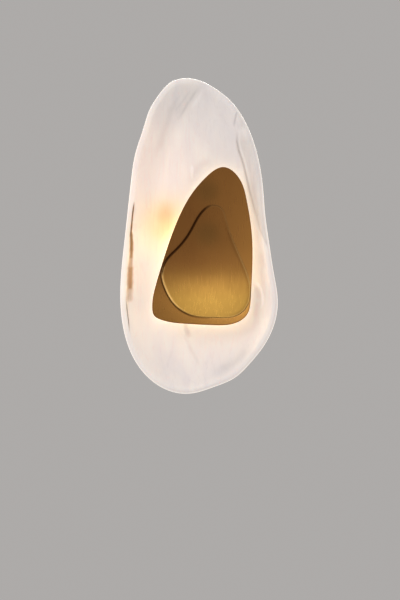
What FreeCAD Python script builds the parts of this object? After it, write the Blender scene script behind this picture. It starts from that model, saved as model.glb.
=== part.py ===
import FreeCAD, Part
import math
import os
from FreeCAD import Vector

# Shell wall sconce: a slumped opal glass dish clamped to a wall pan, two lamps in front of the
# glass, and a brass cover of two leaves that magnets hold over the lamps.
# Millimetres. +Z is up and +X is to the right, seen from the front, which faces -Y.
# The origin is the middle of the wall bracket, on the wall's surface. A piece's distance from
# the wall, towards the viewer, is called its out distance.

# Glass dish
glass_width = 188.7
glass_height = 379.4
glass_wall = 9.0
lip_rise = 24.0
lip_wave = 1.6
lip_waves = 3
lip_wave_start = 0.6
lip_curl = 2.6
flat_share = 0.48
dish_centre_x = -5.0
dish_centre_z = 5.0
dish_points = 40

# Brass cover of two leaves
cover_width = 120.5
cover_height = 189.3
rear_sheet = 2.0
front_leaf_width = 106.5
front_leaf_height = 133.6
front_sheet = 1.6
leaf_gap = 6.8
rear_apex_x = -10.0
rear_apex_z = -30.0
rear_r_across = 700.0
rear_r_up = 2500.0
rear_r_down = 450.0
front_apex_x = -50.0
front_apex_z = -30.0
front_r_across = 600.0
front_r_up = 900.0
front_r_down = 430.0

# Wall bracket
slot_spacing = 88.9
slot_length = 14.0
slot_r = 2.4
bar_width = 20.0
bar_sheet = 2.0
bar_rise = 4.0
bar_middle = 68.0
bar_bend_r = 1.6
tab_height = 16.0
cable_hole_r = 8.0
ground_x = -24.0
ground_screw_r = 2.0
ground_head_r = 4.2
ground_head_height = 2.4
ground_screw_short = 0.5

# Pan and its rubber bead
pan_r = 60.0
pan_sheet = 1.2
pan_depth = 24.0
pan_edge_r = 4.0
bead_lip = 0.8
bead_floor = 1.2
bead_height = 5.0
side_screw_r = 1.95
side_head_r = 4.5
side_head_length = 4.0
side_screw_out = 10.2
side_screw_spare = 1.0
knurl_count = 24
knurl_depth = 0.35

# Stem, nuts and washers
stem_r = 4.9
stem_bore_r = 3.6
stem_nut_flats = 14.0
stem_nut_height = 3.5
stem_washer_r = 10.0
stem_washer_sheet = 1.0
stem_spare = 3.0
stem_front_spare = 1.0
bush_wall = 0.9
end_bush_wall = 0.35
end_bush_collar = 0.8
end_bush_length = 3.0
soft_washer_r = 30.0
soft_washer_thick = 1.5
tie_x = 24.0
tie_r = 2.0
tie_nut_flats = 7.0
tie_nut_height = 3.2
tie_head_r = 3.8
tie_head_height = 2.5
tie_sleeve_r = 3.7
tie_spare = 0.6

# Terminal block
block_length = 34.0
block_depth = 13.0
block_height = 16.0
block_low_z = 25.0
pole_pitch = 11.0
insert_r = 2.8
insert_bore_r = 2.15
insert_inset = 0.5
block_edge_r = 1.5
clamp_screw_r = 1.5
clamp_screw_inset = 0.5
screw_slot = 0.6
screw_slot_depth = 0.8

# Leads
lead_r = 0.9
lead_bend = 5.0
lead_circle_r = 2.2
lead_step = 2.2
pole_share = 1.0
lead_end_gap = 0.4
lead_drop = 5.0
lead_slope = 6.0
lead_turn_room = 4.0
lead_depth_share = 0.4
upper_lead_way = [(12.0, 20.0), (15.5, 41.0), (6.5, 55.0)]
ring_tag_r = 4.0
ring_tag_sheet = 0.8
crimp_r = 1.4
crimp_length = 5.0
tag_neck_width = 2.4
tag_neck_length = 3.0
earth_straight = 6.0

# Lamp plate and posts
plate_sheet = 1.5
plate_corner_r = 13.0
post_r = 5.0
post_spigot_r = 2.4
post_top_x = 14.0
post_top_z = 70.0
post_right_x = 34.0
post_right_z = -60.0
post_left_x = -38.0
post_left_z = -62.0
magnet_r = 4.0
magnet_height = 3.0
cup_wall = 1.7
cup_skirt = 3.0
post_end_clear = 1.2

# Lampholders and lamps
holder_length = 18.0
holder_width = 20.0
holder_depth = 14.0
holder_lift = 10.8
holder_round_r = 3.0
pocket_depth = 6.0
lead_recess = 2.5
recess_width = 8.0
recess_height = 6.0
pin_slot_gap = 1.0
pin_slot_height = 2.0
ceramic_bite = 4.5
bracket_sheet = 1.0
bracket_width = 12.0
bracket_clear = 2.0
tongue_reach = 8.0
foot_length = 10.0
small_screw_r = 1.4
small_head_r = 2.75
small_head_height = 1.8
lamp_r = 7.5
lamp_length = 46.0
lamp_neck = 8.0
lamp_wall = 0.8
base_width = 16.0
base_depth = 10.0
base_edge_r = 2.0
core_width = 8.0
core_length = 28.0
core_sheet = 1.2
pin_pitch = 9.7
pin_wire_r = 0.4
pin_loop = 2.0
pin_length = 7.5
pin_bend_r = 0.9
lamp_clear = 7.5
upper_mouth_x = -12.0
upper_mouth_z = 22.0
upper_turn = 241.4
lower_mouth_x = 0.0
lower_mouth_z = -32.0
lower_turn = 270.0

# Leaf fasteners
stud_r = 1.5
spacer_r = 3.5
leaf_nut_flats = 5.5
leaf_nut_height = 2.4
leaf_washer_r = 4.0
leaf_washer_thick = 1.0
nut_seat_drop = 1.5
stud_low_left_x = -28.0
stud_low_left_z = -48.0
stud_low_right_x = 36.0
stud_low_right_z = -36.0
stud_top_x = 10.0
stud_top_z = 20.0
stud_spare = 1.0

# Clearances
thread_gap = 0.1
hole_gap = 0.3
slip_gap = 0.3

# How far a cut runs past the face that it opens, and how far past a dished leaf
over = 1.0
leaf_reach = 40.0

# Out distances of the stack, from the wall forward
pan_back = bead_floor
pan_front = pan_back + pan_depth
disc_back = pan_front - pan_sheet
glass_back = pan_front + soft_washer_thick
glass_front = glass_back + glass_wall
plate_back = glass_front + soft_washer_thick
plate_front = plate_back + plate_sheet
lamp_axis = plate_front + holder_lift + holder_depth / 2
cover_back = lamp_axis + lamp_r + lamp_clear
front_back = cover_back + rear_sheet + leaf_gap
post_end = lamp_axis + lamp_r + post_end_clear
leaf_nut_low = cover_back - leaf_washer_thick - leaf_nut_height - nut_seat_drop
rear_nut_low = disc_back - stem_washer_sheet - stem_nut_height
stem_low = rear_nut_low - stem_spare
stem_high = plate_front + stem_washer_sheet + stem_nut_height + stem_front_spare
stem_hole_r = stem_r + thread_gap + bush_wall + hole_gap
block_back = disc_back - block_depth
lead_hole_out = block_back + block_depth / 2

# Places shared by several pieces
tab_x = math.sqrt((pan_r - pan_sheet - bead_lip - slip_gap) ** 2 - (bar_width / 2) ** 2)
studs = [(stud_low_left_x, stud_low_left_z), (stud_low_right_x, stud_low_right_z), (stud_top_x, stud_top_z)]
posts = [(post_top_x, post_top_z), (post_left_x, post_left_z), (post_right_x, post_right_z)]
poles = [-pole_pitch, 0.0, pole_pitch]
block_screw_x = pole_pitch / 2
block_middle_z = block_low_z + block_height / 2
clamp_screw_rows = [block_low_z + 0.28 * block_height, block_low_z + 0.75 * block_height]
bracket_edge = holder_width / 2 + bracket_clear
foot_middle = bracket_edge + foot_length / 2
lamp_middle = holder_lift + holder_depth / 2
lamps = {
    "upper": (upper_mouth_x, upper_mouth_z, upper_turn),
    "lower": (lower_mouth_x, lower_mouth_z, lower_turn),
}

# Outlines, clockwise from the top, as shares of the piece's own width and height
glass_outline = [
    (-0.090, 0.532), (0.013, 0.519), (0.101, 0.493), (0.154, 0.473), (0.239, 0.424), (0.303, 0.363),
    (0.354, 0.284), (0.388, 0.175), (0.398, 0.110), (0.428, 0.000), (0.456, -0.089), (0.480, -0.174),
    (0.459, -0.245), (0.395, -0.313), (0.292, -0.377), (0.219, -0.412), (0.072, -0.446), (-0.090, -0.467),
    (-0.230, -0.454),
    (-0.351, -0.413), (-0.447, -0.346), (-0.500, -0.268), (-0.522, -0.174), (-0.498, 0.010),
    (-0.455, 0.205), (-0.422, 0.303), (-0.377, 0.371), (-0.335, 0.434), (-0.286, 0.474), (-0.191, 0.522),
]
rear_outline = [
    (0.217, 0.498), (0.365, 0.428), (0.440, 0.290), (0.490, 0.085), (0.497, -0.105), (0.482, -0.317),
    (0.438, -0.438), (0.330, -0.486), (0.124, -0.500), (-0.166, -0.491), (-0.415, -0.465),
    (-0.480, -0.440), (-0.500, -0.390), (-0.465, -0.248), (-0.377, -0.063), (-0.257, 0.148),
    (-0.120, 0.317), (0.025, 0.428),
]
front_outline = [
    (0.141, 0.364), (0.019, 0.318), (-0.075, 0.210), (-0.150, 0.101), (-0.282, -0.030),
    (-0.404, -0.135), (-0.450, -0.247), (-0.405, -0.389), (-0.300, -0.524), (-0.113, -0.616),
    (0.141, -0.636), (0.338, -0.630), (0.460, -0.580), (0.526, -0.479), (0.532, -0.344),
    (0.458, -0.165), (0.340, 0.052), (0.258, 0.247), (0.212, 0.336),
]
outward = Vector(0, -1, 0)


def at(x, z, out):
    """Point to the right, up and out from the wall."""
    return Vector(x, -out, z)


def rod(x, z, low, high, radius):
    """Round bar square to the wall, from one out distance to another."""
    return Part.makeCylinder(radius, high - low, at(x, z, low), outward)


def ring(x, z, low, high, radius, bore):
    """Washer or tube square to the wall."""
    return rod(x, z, low, high, radius).cut(rod(x, z, low - over, high + over, bore))


def side_rod(side, x, length, radius, z, out):
    """Round bar along X that starts x from the middle, on the right (1) or left (-1)."""
    return Part.makeCylinder(radius, length, at(side * x, z, out), Vector(side, 0, 0))


def block(x_low, x_high, z_low, z_high, low, high):
    """Box between two x, two z and two out distances."""
    return Part.makeBox(x_high - x_low, high - low, z_high - z_low, Vector(x_low, -high, z_low))


def hexagon(x, z, low, high, flats):
    """Six-sided bar square to the wall, given across its flats."""
    reach = flats / math.sqrt(3)
    corners = [at(x + reach * math.cos(math.radians(60 * i)), z + reach * math.sin(math.radians(60 * i)), low)
               for i in range(7)]
    return Part.Face(Part.makePolygon(corners)).extrude(outward * (high - low))


def hex_nut(x, z, low, high, flats, bore):
    """Nut with its corners turned down on the outer face."""
    body = hexagon(x, z, low, high, flats)
    corner_r = flats / math.sqrt(3)
    turned = Part.makeCone(corner_r + (high - low), corner_r - 0.1 * flats, high - low + 0.1 * flats,
                           at(x, z, low), outward)
    return body.common(turned).cut(rod(x, z, low - over, high + over, bore))


def screw(x, z, seat, head_r, head_height, shank_r, length, facing):
    """Round-headed screw: its head lies on one side of the seat, its shank on the other."""
    direction = outward * facing
    head = Part.makeCylinder(head_r, head_height, at(x, z, seat), direction)
    rim = [edge for edge in head.Edges
           if abs((edge.CenterOfMass - at(x, z, seat)).dot(direction) - head_height) < 1e-6]
    head = head.makeFillet(0.4 * head_height, rim)
    slot = Part.makeBox(2.4 * head_r, 0.4 * head_height, 0.22 * head_r)
    slot.translate(at(x - 1.2 * head_r, z - 0.11 * head_r, seat + facing * head_height + 0.2 * head_height))
    shank = Part.makeCylinder(shank_r, length, at(x, z, seat), direction * -1)
    return head.cut(slot).fuse(shank).removeSplitter()


def tube(points, radius, bend):
    """Round wire along straight runs joined by tangent arcs."""
    edges = []
    start = points[0]
    for i in range(1, len(points) - 1):
        before = (points[i - 1] - points[i]).normalize()
        after = (points[i + 1] - points[i]).normalize()
        turn = math.pi - before.getAngle(after)
        shorter = min((points[i - 1] - points[i]).Length, (points[i + 1] - points[i]).Length)
        cut_back = min(bend * math.tan(turn / 2), 0.45 * shorter)
        arc_r = cut_back / math.tan(turn / 2)
        first = points[i] + before * cut_back
        last = points[i] + after * cut_back
        inner = (before + after).normalize()
        middle = points[i] + inner * (arc_r / math.cos(turn / 2) - arc_r)
        edges.append(Part.LineSegment(start, first).toShape())
        edges.append(Part.Arc(first, middle, last).toShape())
        start = last
    edges.append(Part.LineSegment(start, points[-1]).toShape())
    profile = Part.Wire(Part.makeCircle(radius, points[0], points[1] - points[0]))
    return Part.Wire(edges).makePipeShell([profile], True, False)


def placed(shape, name):
    """Moves a shape from a lamp's own frame to its place.

    In that frame x runs from the holder's mouth to the lamp's tip, y across, and z out from the plate.
    """
    x, z, turn = lamps[name]
    along = Vector(math.cos(math.radians(turn)), 0, math.sin(math.radians(turn)))
    moved = shape.copy()
    moved.Placement = FreeCAD.Placement(at(x, z, plate_front),
                                        FreeCAD.Rotation(along, outward.cross(along), outward, "ZXY"))
    return moved


def outline_curve(outline, width, height):
    """Closed smooth curve on the wall plane through an outline's points."""
    curve = Part.BSplineCurve()
    curve.interpolate(Points=[at(x * width, z * height, 0) for x, z in outline], PeriodicFlag=True)
    return curve


def outline_prism(outline, width, height, low, high):
    """Straight-sided block of an outline, between two out distances."""
    face = Part.Face(Part.Wire(outline_curve(outline, width, height).toShape()))
    face.translate(outward * low)
    return face.extrude(outward * (high - low))


def even_ring(points):
    """Closed curve with evenly spaced knots, so that rings join without a twist."""
    count = len(points)
    curve = Part.BSplineCurve()
    curve.interpolate(Points=points, PeriodicFlag=True, Parameters=[i / count for i in range(count + 1)])
    return Part.Wire(curve.toShape())


def make_glass_shell():
    """Dish of even wall: flat middle, sides that rise to a lip, and a fully rounded rim."""
    curve = outline_curve(glass_outline, glass_width, glass_height)
    span = curve.LastParameter - curve.FirstParameter
    centre = at(dish_centre_x, dish_centre_z, 0)
    rim_r = glass_wall / 2
    edge, inward, rim_out = [], [], []
    for i in range(dish_points):
        u = curve.FirstParameter + span * i / dish_points
        along = curve.tangent(u)[0]
        edge.append(curve.value(u))
        inward.append(Vector(along.z, 0, -along.x).normalize())
        wave = math.cos(2 * math.pi * lip_waves * i / dish_points + lip_wave_start)
        rim_out.append(glass_front + lip_rise + lip_wave * wave)

    def band_ring(inset, share, height):
        """Ring at a share of the way from the rim, moved in by inset, to the flat middle."""
        points = []
        for i in range(dish_points):
            start = edge[i] + inward[i] * inset
            end = centre + (edge[i] - centre) * flat_share
            points.append(start + (end - start) * share + outward * height(i))
        return even_ring(points)

    def side_ring(inset, flat_out, share):
        """Ring on the rising side, at its share of the way in from the rim."""
        return band_ring(inset, share,
                         lambda i: flat_out + (rim_out[i] - rim_r - flat_out) * (1 - share) ** lip_curl)

    def rim_ring(angle):
        """Ring on the rounded rim, from 0 degrees on the outside to 180 on the inside."""
        inset = rim_r * (1 - math.cos(math.radians(angle)))
        return band_ring(inset, 0, lambda i: rim_out[i] - rim_r * (1 - math.sin(math.radians(angle))))

    shares = (1.0, 0.85, 0.7, 0.55, 0.4, 0.25, 0.12, 0.0)
    back = [side_ring(0, glass_back, share) for share in shares]
    front = [side_ring(glass_wall, glass_front, share) for share in reversed(shares)]
    rim = [back[-1]] + [rim_ring(angle) for angle in (30, 60, 90, 120, 150)] + [front[0]]
    faces = [Part.Face(back[0]), Part.Face(front[-1])]
    for band in (back, rim, front):
        faces += Part.makeLoft(band, False, False, False).Faces
    dish = Part.Solid(Part.makeShell(faces))
    if dish.Volume < 0:
        dish.reverse()
    dish = dish.cut(rod(0, 0, glass_back - over, glass_front + over, stem_hole_r))
    for x in (-tie_x, tie_x):
        dish = dish.cut(rod(x, 0, glass_back - over, glass_front + over, tie_sleeve_r + hole_gap))
    return dish


def dished_block(apex, radii, start, depth):
    """Block between two concentric dished faces, from start to start + depth in front of the apex."""
    x, z, out = apex
    across, up, down = radii
    reach = 1.3 * cover_height
    up_angle = math.asin(min(0.95, reach / up))
    down_angle = math.asin(min(0.95, reach / down))

    def point(radius, angle, offset):
        """Point of the upright section, on a face that lies offset in front of the base face."""
        return at(x, z + (radius + offset) * math.sin(angle),
                  out - radius + (radius + offset) * math.cos(angle))

    def sweep(radius, first, last, offset):
        """Arc of the upright section."""
        return Part.Arc(point(radius, first, offset), point(radius, (first + last) / 2, offset),
                        point(radius, last, offset)).toShape()

    near = start
    far = start + depth
    edges = [
        sweep(up, up_angle, 0, near),
        sweep(down, 0, -down_angle, near),
        Part.LineSegment(point(down, -down_angle, near), point(down, -down_angle, far)).toShape(),
        sweep(down, -down_angle, 0, far),
        sweep(up, 0, up_angle, far),
        Part.LineSegment(point(up, up_angle, far), point(up, up_angle, near)).toShape(),
    ]
    half_turn = math.degrees(math.asin(min(0.9, cover_width / across)))
    section = Part.Face(Part.Wire(edges))
    pivot = at(x, 0, out - across)
    section.rotate(pivot, Vector(0, 0, 1), -half_turn)
    return section.revolve(pivot, Vector(0, 0, 1), 2 * half_turn)


def in_front_of_rear(start, depth):
    """Block that follows the rear leaf's back face, from start in front of it."""
    apex = (rear_apex_x, rear_apex_z, cover_back)
    return dished_block(apex, (rear_r_across, rear_r_up, rear_r_down), start, depth)


def in_front_of_small(start, depth):
    """Block that follows the front leaf's back face, from start in front of it."""
    apex = (front_apex_x, front_apex_z, front_back)
    return dished_block(apex, (front_r_across, front_r_up, front_r_down), start, depth)


def make_rear_leaf():
    """Large leaf of dished sheet, with plain holes for the studs of the small one."""
    prism = outline_prism(rear_outline, cover_width, cover_height, cover_back - leaf_reach,
                          cover_back + leaf_reach)
    leaf = in_front_of_rear(0, rear_sheet).common(prism)
    for x, z in studs:
        leaf = leaf.cut(rod(x, z, cover_back - leaf_reach, cover_back + leaf_reach, stud_r + hole_gap))
    return leaf


def make_front_leaf():
    """Small leaf of dished sheet, tilted so that its left side stands away from the large one."""
    prism = outline_prism(front_outline, front_leaf_width, front_leaf_height, front_back - leaf_reach,
                          front_back + leaf_reach)
    return in_front_of_small(0, front_sheet).common(prism)


def make_leaf_studs():
    """Studs brazed to the small leaf's back, through the spacers and the large leaf."""
    beyond = in_front_of_small(0, leaf_reach)
    return [rod(x, z, leaf_nut_low - stud_spare, front_back + leaf_gap, stud_r).cut(beyond) for x, z in studs]


def make_leaf_spacers():
    """Sleeves whose ends follow the two leaves."""
    beyond = in_front_of_small(0, leaf_reach)
    room = in_front_of_rear(rear_sheet, leaf_reach)
    low = cover_back - leaf_gap
    high = front_back + leaf_gap
    return [ring(x, z, low, high, spacer_r, stud_r + thread_gap).common(room).cut(beyond) for x, z in studs]


def make_leaf_washers():
    """Soft washers that fill the space between the flat nuts and the dished leaf."""
    leaf_side = in_front_of_rear(0, leaf_reach)
    return [ring(x, z, leaf_nut_low + leaf_nut_height, cover_back + 1, leaf_washer_r, stud_r + thread_gap)
            .cut(leaf_side) for x, z in studs]


def make_leaf_nuts():
    """Nuts behind the large leaf."""
    return [hex_nut(x, z, leaf_nut_low, leaf_nut_low + leaf_nut_height, leaf_nut_flats, stud_r + thread_gap)
            for x, z in studs]


def make_cover_cups():
    """Steel cups brazed to the large leaf's back; each drops over a post and meets its magnet."""
    leaf_side = in_front_of_rear(0, leaf_reach)
    cups = []
    for x, z in posts:
        cup = rod(x, z, post_end - cup_skirt, cover_back + 1, post_r + slip_gap + cup_wall)
        cup = cup.cut(rod(x, z, post_end - cup_skirt - 1, post_end + slip_gap, post_r + slip_gap))
        cups.append(cup.cut(leaf_side))
    return cups


def make_cover_posts():
    """Posts staked in the lamp plate, with a pocket for the magnet in the free end."""
    made = []
    for x, z in posts:
        post = rod(x, z, plate_front, post_end, post_r).fuse(rod(x, z, plate_back, plate_front, post_spigot_r))
        pocket = rod(x, z, post_end - magnet_height - thread_gap, post_end + 1, magnet_r + thread_gap)
        made.append(post.cut(pocket).removeSplitter())
    return made


def make_post_magnets():
    """Disc magnets, flush with the posts' ends."""
    high = post_end - thread_gap
    return [rod(x, z, high - magnet_height, high, magnet_r) for x, z in posts]


def make_wall_bracket():
    """Steel bar: feet on the wall with a slot each, a raised middle, and end tabs turned forward."""
    half = block(0, bar_middle / 2, -bar_width / 2, bar_width / 2, bar_rise, bar_rise + bar_sheet)
    half = half.fuse(block(bar_middle / 2 - bar_sheet, bar_middle / 2, -bar_width / 2, bar_width / 2,
                           0, bar_rise + bar_sheet))
    half = half.fuse(block(bar_middle / 2 - bar_sheet, tab_x, -bar_width / 2, bar_width / 2, 0, bar_sheet))
    half = half.fuse(block(tab_x - bar_sheet, tab_x, -bar_width / 2, bar_width / 2, 0, tab_height))
    bar = half.fuse(half.mirror(Vector(0, 0, 0), Vector(1, 0, 0))).removeSplitter()
    bends = [edge for edge in bar.Edges
             if abs(edge.tangentAt(edge.FirstParameter).z) > 0.99 and -edge.CenterOfMass.y < tab_height - 0.1]
    bar = bar.makeFillet(bar_bend_r, bends)
    for side in (-1, 1):
        x = side * slot_spacing / 2
        run = slot_length / 2 - slot_r
        slot = block(x - run, x + run, -slot_r, slot_r, -over, bar_sheet + over)
        for end in (-run, run):
            slot = slot.fuse(rod(x + end, 0, -over, bar_sheet + over, slot_r))
        bar = bar.cut(slot)
        bar = bar.cut(side_rod(side, tab_x - 2 * bar_sheet, 4 * bar_sheet, side_screw_r + thread_gap, 0,
                               side_screw_out))
    bar = bar.cut(rod(0, 0, -over, bar_rise + bar_sheet + over, cable_hole_r))
    return bar.cut(rod(ground_x, 0, -over, bar_rise + bar_sheet + over, ground_screw_r + thread_gap))


def make_ground_screw():
    """Round-headed screw that clamps the earth lead's ring on the bar."""
    seat = bar_rise + bar_sheet + ring_tag_sheet
    return screw(ground_x, 0, seat, ground_head_r, ground_head_height, ground_screw_r,
                 seat - ground_screw_short, 1)


def make_back_pan():
    """Round pan drawn from sheet, open to the wall, with its front edge rounded."""
    outer = rod(0, 0, pan_back, pan_front, pan_r)
    inner = rod(0, 0, pan_back, disc_back, pan_r - pan_sheet)
    outer = outer.makeFillet(pan_edge_r, [edge for edge in outer.Edges
                                          if abs(edge.CenterOfMass.y + pan_front) < 1e-6])
    inner = inner.makeFillet(pan_edge_r - pan_sheet, [edge for edge in inner.Edges
                                                      if abs(edge.CenterOfMass.y + disc_back) < 1e-6])
    pan = outer.cut(inner)
    pan = pan.cut(rod(0, 0, disc_back - over, pan_front + over, stem_r + hole_gap))
    for side in (-1, 1):
        pan = pan.cut(rod(side * tie_x, 0, disc_back - over, pan_front + over, tie_r + hole_gap))
        pan = pan.cut(side_rod(side, pan_r - 3 * pan_sheet, 4 * pan_sheet, side_screw_r + hole_gap, 0,
                               side_screw_out))
    return pan.cut(rod(block_screw_x, block_middle_z, disc_back - over, pan_front + over,
                       small_screw_r + thread_gap))


def make_rim_gasket():
    """Rubber bead pressed on the pan's edge, its floor against the wall."""
    inside = pan_r - pan_sheet
    bead = ring(0, 0, 0, bead_height, pan_r + bead_lip, inside - bead_lip)
    return bead.cut(ring(0, 0, pan_back, bead_height + over, pan_r, inside))


def make_side_screws():
    """Knurled screws through the pan's side into the bracket's tabs."""
    made = []
    shank_start = tab_x - bar_sheet - side_screw_spare
    for side in (-1, 1):
        head = side_rod(side, pan_r, side_head_length, side_head_r, 0, side_screw_out)
        for i in range(knurl_count):
            angle = 2 * math.pi * i / knurl_count
            head = head.cut(side_rod(side, pan_r - over, side_head_length + 2 * over, knurl_depth,
                                     side_head_r * math.cos(angle),
                                     side_screw_out + side_head_r * math.sin(angle)))
        shank = side_rod(side, shank_start, pan_r - shank_start, side_screw_r, 0, side_screw_out)
        made.append(head.fuse(shank).removeSplitter())
    return made


def make_stem():
    """Hollow threaded tube through pan, glass and lamp plate; the leads run inside it."""
    return ring(0, 0, stem_low, stem_high, stem_r, stem_bore_r)


def make_stem_washers():
    """Steel washers under the two stem nuts."""
    bore = stem_r + thread_gap
    return [ring(0, 0, disc_back - stem_washer_sheet, disc_back, stem_washer_r, bore),
            ring(0, 0, plate_front, plate_front + stem_washer_sheet, stem_washer_r, bore)]


def make_stem_nuts():
    """Thin nuts behind the pan and in front of the lamp plate."""
    bore = stem_r + thread_gap
    rear = hex_nut(0, 0, rear_nut_low, rear_nut_low + stem_nut_height, stem_nut_flats, bore)
    front_low = plate_front + stem_washer_sheet
    return [rear, hex_nut(0, 0, front_low, front_low + stem_nut_height, stem_nut_flats, bore)]


def make_stem_end_bushes():
    """Plastic bushes in the stem's ends, so that the edge can't cut the leads."""
    bore = stem_bore_r - end_bush_wall
    made = []
    for mouth, inside, lip in ((stem_low, stem_low + end_bush_length, stem_low - end_bush_collar),
                               (stem_high, stem_high - end_bush_length, stem_high + end_bush_collar)):
        collar = rod(0, 0, min(mouth, lip), max(mouth, lip), stem_r)
        sleeve = rod(0, 0, min(mouth, inside), max(mouth, inside), stem_bore_r)
        made.append(collar.fuse(sleeve)
                    .cut(rod(0, 0, stem_low - end_bush_length, stem_high + end_bush_length, bore))
                    .removeSplitter())
    return made


def make_soft_washer(low):
    """Silicone disc between metal and glass, with holes for the stem and the tie screws."""
    washer = ring(0, 0, low, low + soft_washer_thick, soft_washer_r, stem_r + hole_gap)
    for x in (-tie_x, tie_x):
        washer = washer.cut(rod(x, 0, low - over, low + soft_washer_thick + over, tie_r + hole_gap))
    return washer


def make_glass_bush():
    """Nylon sleeve between stem and glass."""
    return ring(0, 0, glass_back, glass_front, stem_r + thread_gap + bush_wall, stem_r + thread_gap)


def make_tie_sleeves():
    """Nylon sleeves between the tie screws and the glass."""
    return [ring(x, 0, glass_back, glass_front, tie_sleeve_r, tie_r + thread_gap) for x in (-tie_x, tie_x)]


def make_tie_screws():
    """Screws from inside the pan to the lamp plate, which stop the glass from turning."""
    length = plate_front + tie_nut_height + tie_spare - disc_back
    return [screw(x, 0, disc_back, tie_head_r, tie_head_height, tie_r, length, -1) for x in (-tie_x, tie_x)]


def make_tie_nuts():
    """Nuts of the tie screws, in front of the lamp plate."""
    return [hex_nut(x, 0, plate_front, plate_front + tie_nut_height, tie_nut_flats, tie_r + thread_gap)
            for x in (-tie_x, tie_x)]


def make_terminal_block():
    """Three-pole block with its wire holes upright and its clamp screws facing the wall."""
    body = block(-block_length / 2, block_length / 2, block_low_z, block_low_z + block_height,
                 block_back, disc_back)
    body = body.makeFillet(block_edge_r, [edge for edge in body.Edges
                                          if abs(edge.tangentAt(edge.FirstParameter).y) > 0.99])
    for x in poles:
        body = body.cut(Part.makeCylinder(insert_r + thread_gap, block_height + 2 * over,
                                          at(x, block_low_z - over, lead_hole_out), Vector(0, 0, 1)))
        for z in clamp_screw_rows:
            body = body.cut(rod(x, z, block_back - over, lead_hole_out, clamp_screw_r + hole_gap))
    return body.cut(rod(block_screw_x, block_middle_z, block_back - over, disc_back + over,
                        small_screw_r + hole_gap))


def make_terminal_inserts():
    """Brass tubes in the block that the clamp screws press the leads against."""
    made = []
    for x in poles:
        foot = at(x, block_low_z + insert_inset, lead_hole_out)
        insert = Part.makeCylinder(insert_r, block_height - 2 * insert_inset, foot, Vector(0, 0, 1))
        insert = insert.cut(Part.makeCylinder(insert_bore_r, block_height, at(x, block_low_z, lead_hole_out),
                                              Vector(0, 0, 1)))
        for z in clamp_screw_rows:
            insert = insert.cut(rod(x, z, block_back, lead_hole_out, clamp_screw_r + thread_gap))
        made.append(insert)
    return made


def make_terminal_screws():
    """Clamp screws of the block, two for each pole."""
    made = []
    for x in poles:
        for z in clamp_screw_rows:
            head_out = block_back + clamp_screw_inset
            clamp = rod(x, z, head_out, lead_hole_out - lead_r - thread_gap, clamp_screw_r)
            slot = block(x - 2 * clamp_screw_r, x + 2 * clamp_screw_r, z - screw_slot / 2, z + screw_slot / 2,
                         block_back, head_out + screw_slot_depth)
            made.append(clamp.cut(slot))
    return made


def make_terminal_block_screw():
    """Screw that holds the block on the pan."""
    return screw(block_screw_x, block_middle_z, block_back, small_head_r, small_head_height, small_screw_r,
                 pan_front - block_back, -1)


def make_lamp_plate():
    """Flat sheet with three rounded corners, one round each post."""
    edges = []
    ends = []
    for i in range(3):
        here = at(*posts[i], plate_back)
        there = at(*posts[(i + 1) % 3], plate_back)
        run = (there - here).normalize()
        side = Vector(run.z, 0, -run.x) * plate_corner_r
        ends.append((here + side, there + side))
    for i in range(3):
        corner = at(*posts[(i + 1) % 3], plate_back)
        arrive = ends[i][1]
        leave = ends[(i + 1) % 3][0]
        bulge = ((arrive + leave) * 0.5 - corner).normalize() * plate_corner_r
        edges.append(Part.LineSegment(*ends[i]).toShape())
        edges.append(Part.Arc(arrive, corner + bulge, leave).toShape())
    plate = Part.Face(Part.Wire(edges)).extrude(outward * plate_sheet)
    holes = [(0, 0, stem_r + hole_gap)]
    holes += [(x, 0, tie_r + hole_gap) for x in (-tie_x, tie_x)]
    holes += [(x, z, post_spigot_r) for x, z in posts]
    for x, z, radius in holes:
        plate = plate.cut(rod(x, z, plate_back - over, plate_front + over, radius))
    for name in lamps:
        hole = Part.makeCylinder(small_screw_r + thread_gap, 10, Vector(-holder_length / 2, foot_middle, -5))
        plate = plate.cut(placed(hole, name))
    return plate


def make_lampholder(name):
    """Ceramic block with a pocket for the lamp's base, two pin slots and a recess for the leads."""
    body = Part.makeBox(holder_length, holder_width, holder_depth,
                        Vector(-holder_length, -holder_width / 2, holder_lift))
    body = body.makeFillet(holder_round_r, [edge for edge in body.Edges
                                            if abs(edge.tangentAt(edge.FirstParameter).x) > 0.99])
    pocket_y = base_width / 2 + hole_gap
    pocket_z = base_depth / 2 + hole_gap
    body = body.cut(Part.makeBox(pocket_depth + over, 2 * pocket_y, 2 * pocket_z,
                                 Vector(-pocket_depth, -pocket_y, lamp_middle - pocket_z)))
    recess_low = lamp_middle - recess_height / 2
    body = body.cut(Part.makeBox(lead_recess + over, recess_width, recess_height,
                                 Vector(-holder_length - over, -recess_width / 2, recess_low)))
    slot_y = pin_loop / 2 + pin_slot_gap
    slot_depth = pocket_depth + pin_length + hole_gap
    for y in (-pin_pitch / 2, pin_pitch / 2):
        body = body.cut(Part.makeBox(slot_depth, 2 * slot_y, pin_slot_height,
                                     Vector(-slot_depth, y - slot_y, lamp_middle - pin_slot_height / 2)))
    body = body.cut(Part.makeCylinder(small_screw_r + thread_gap, ceramic_bite + hole_gap,
                                      Vector(-holder_length / 2, 0, holder_lift)))
    return placed(body, name)


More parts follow.
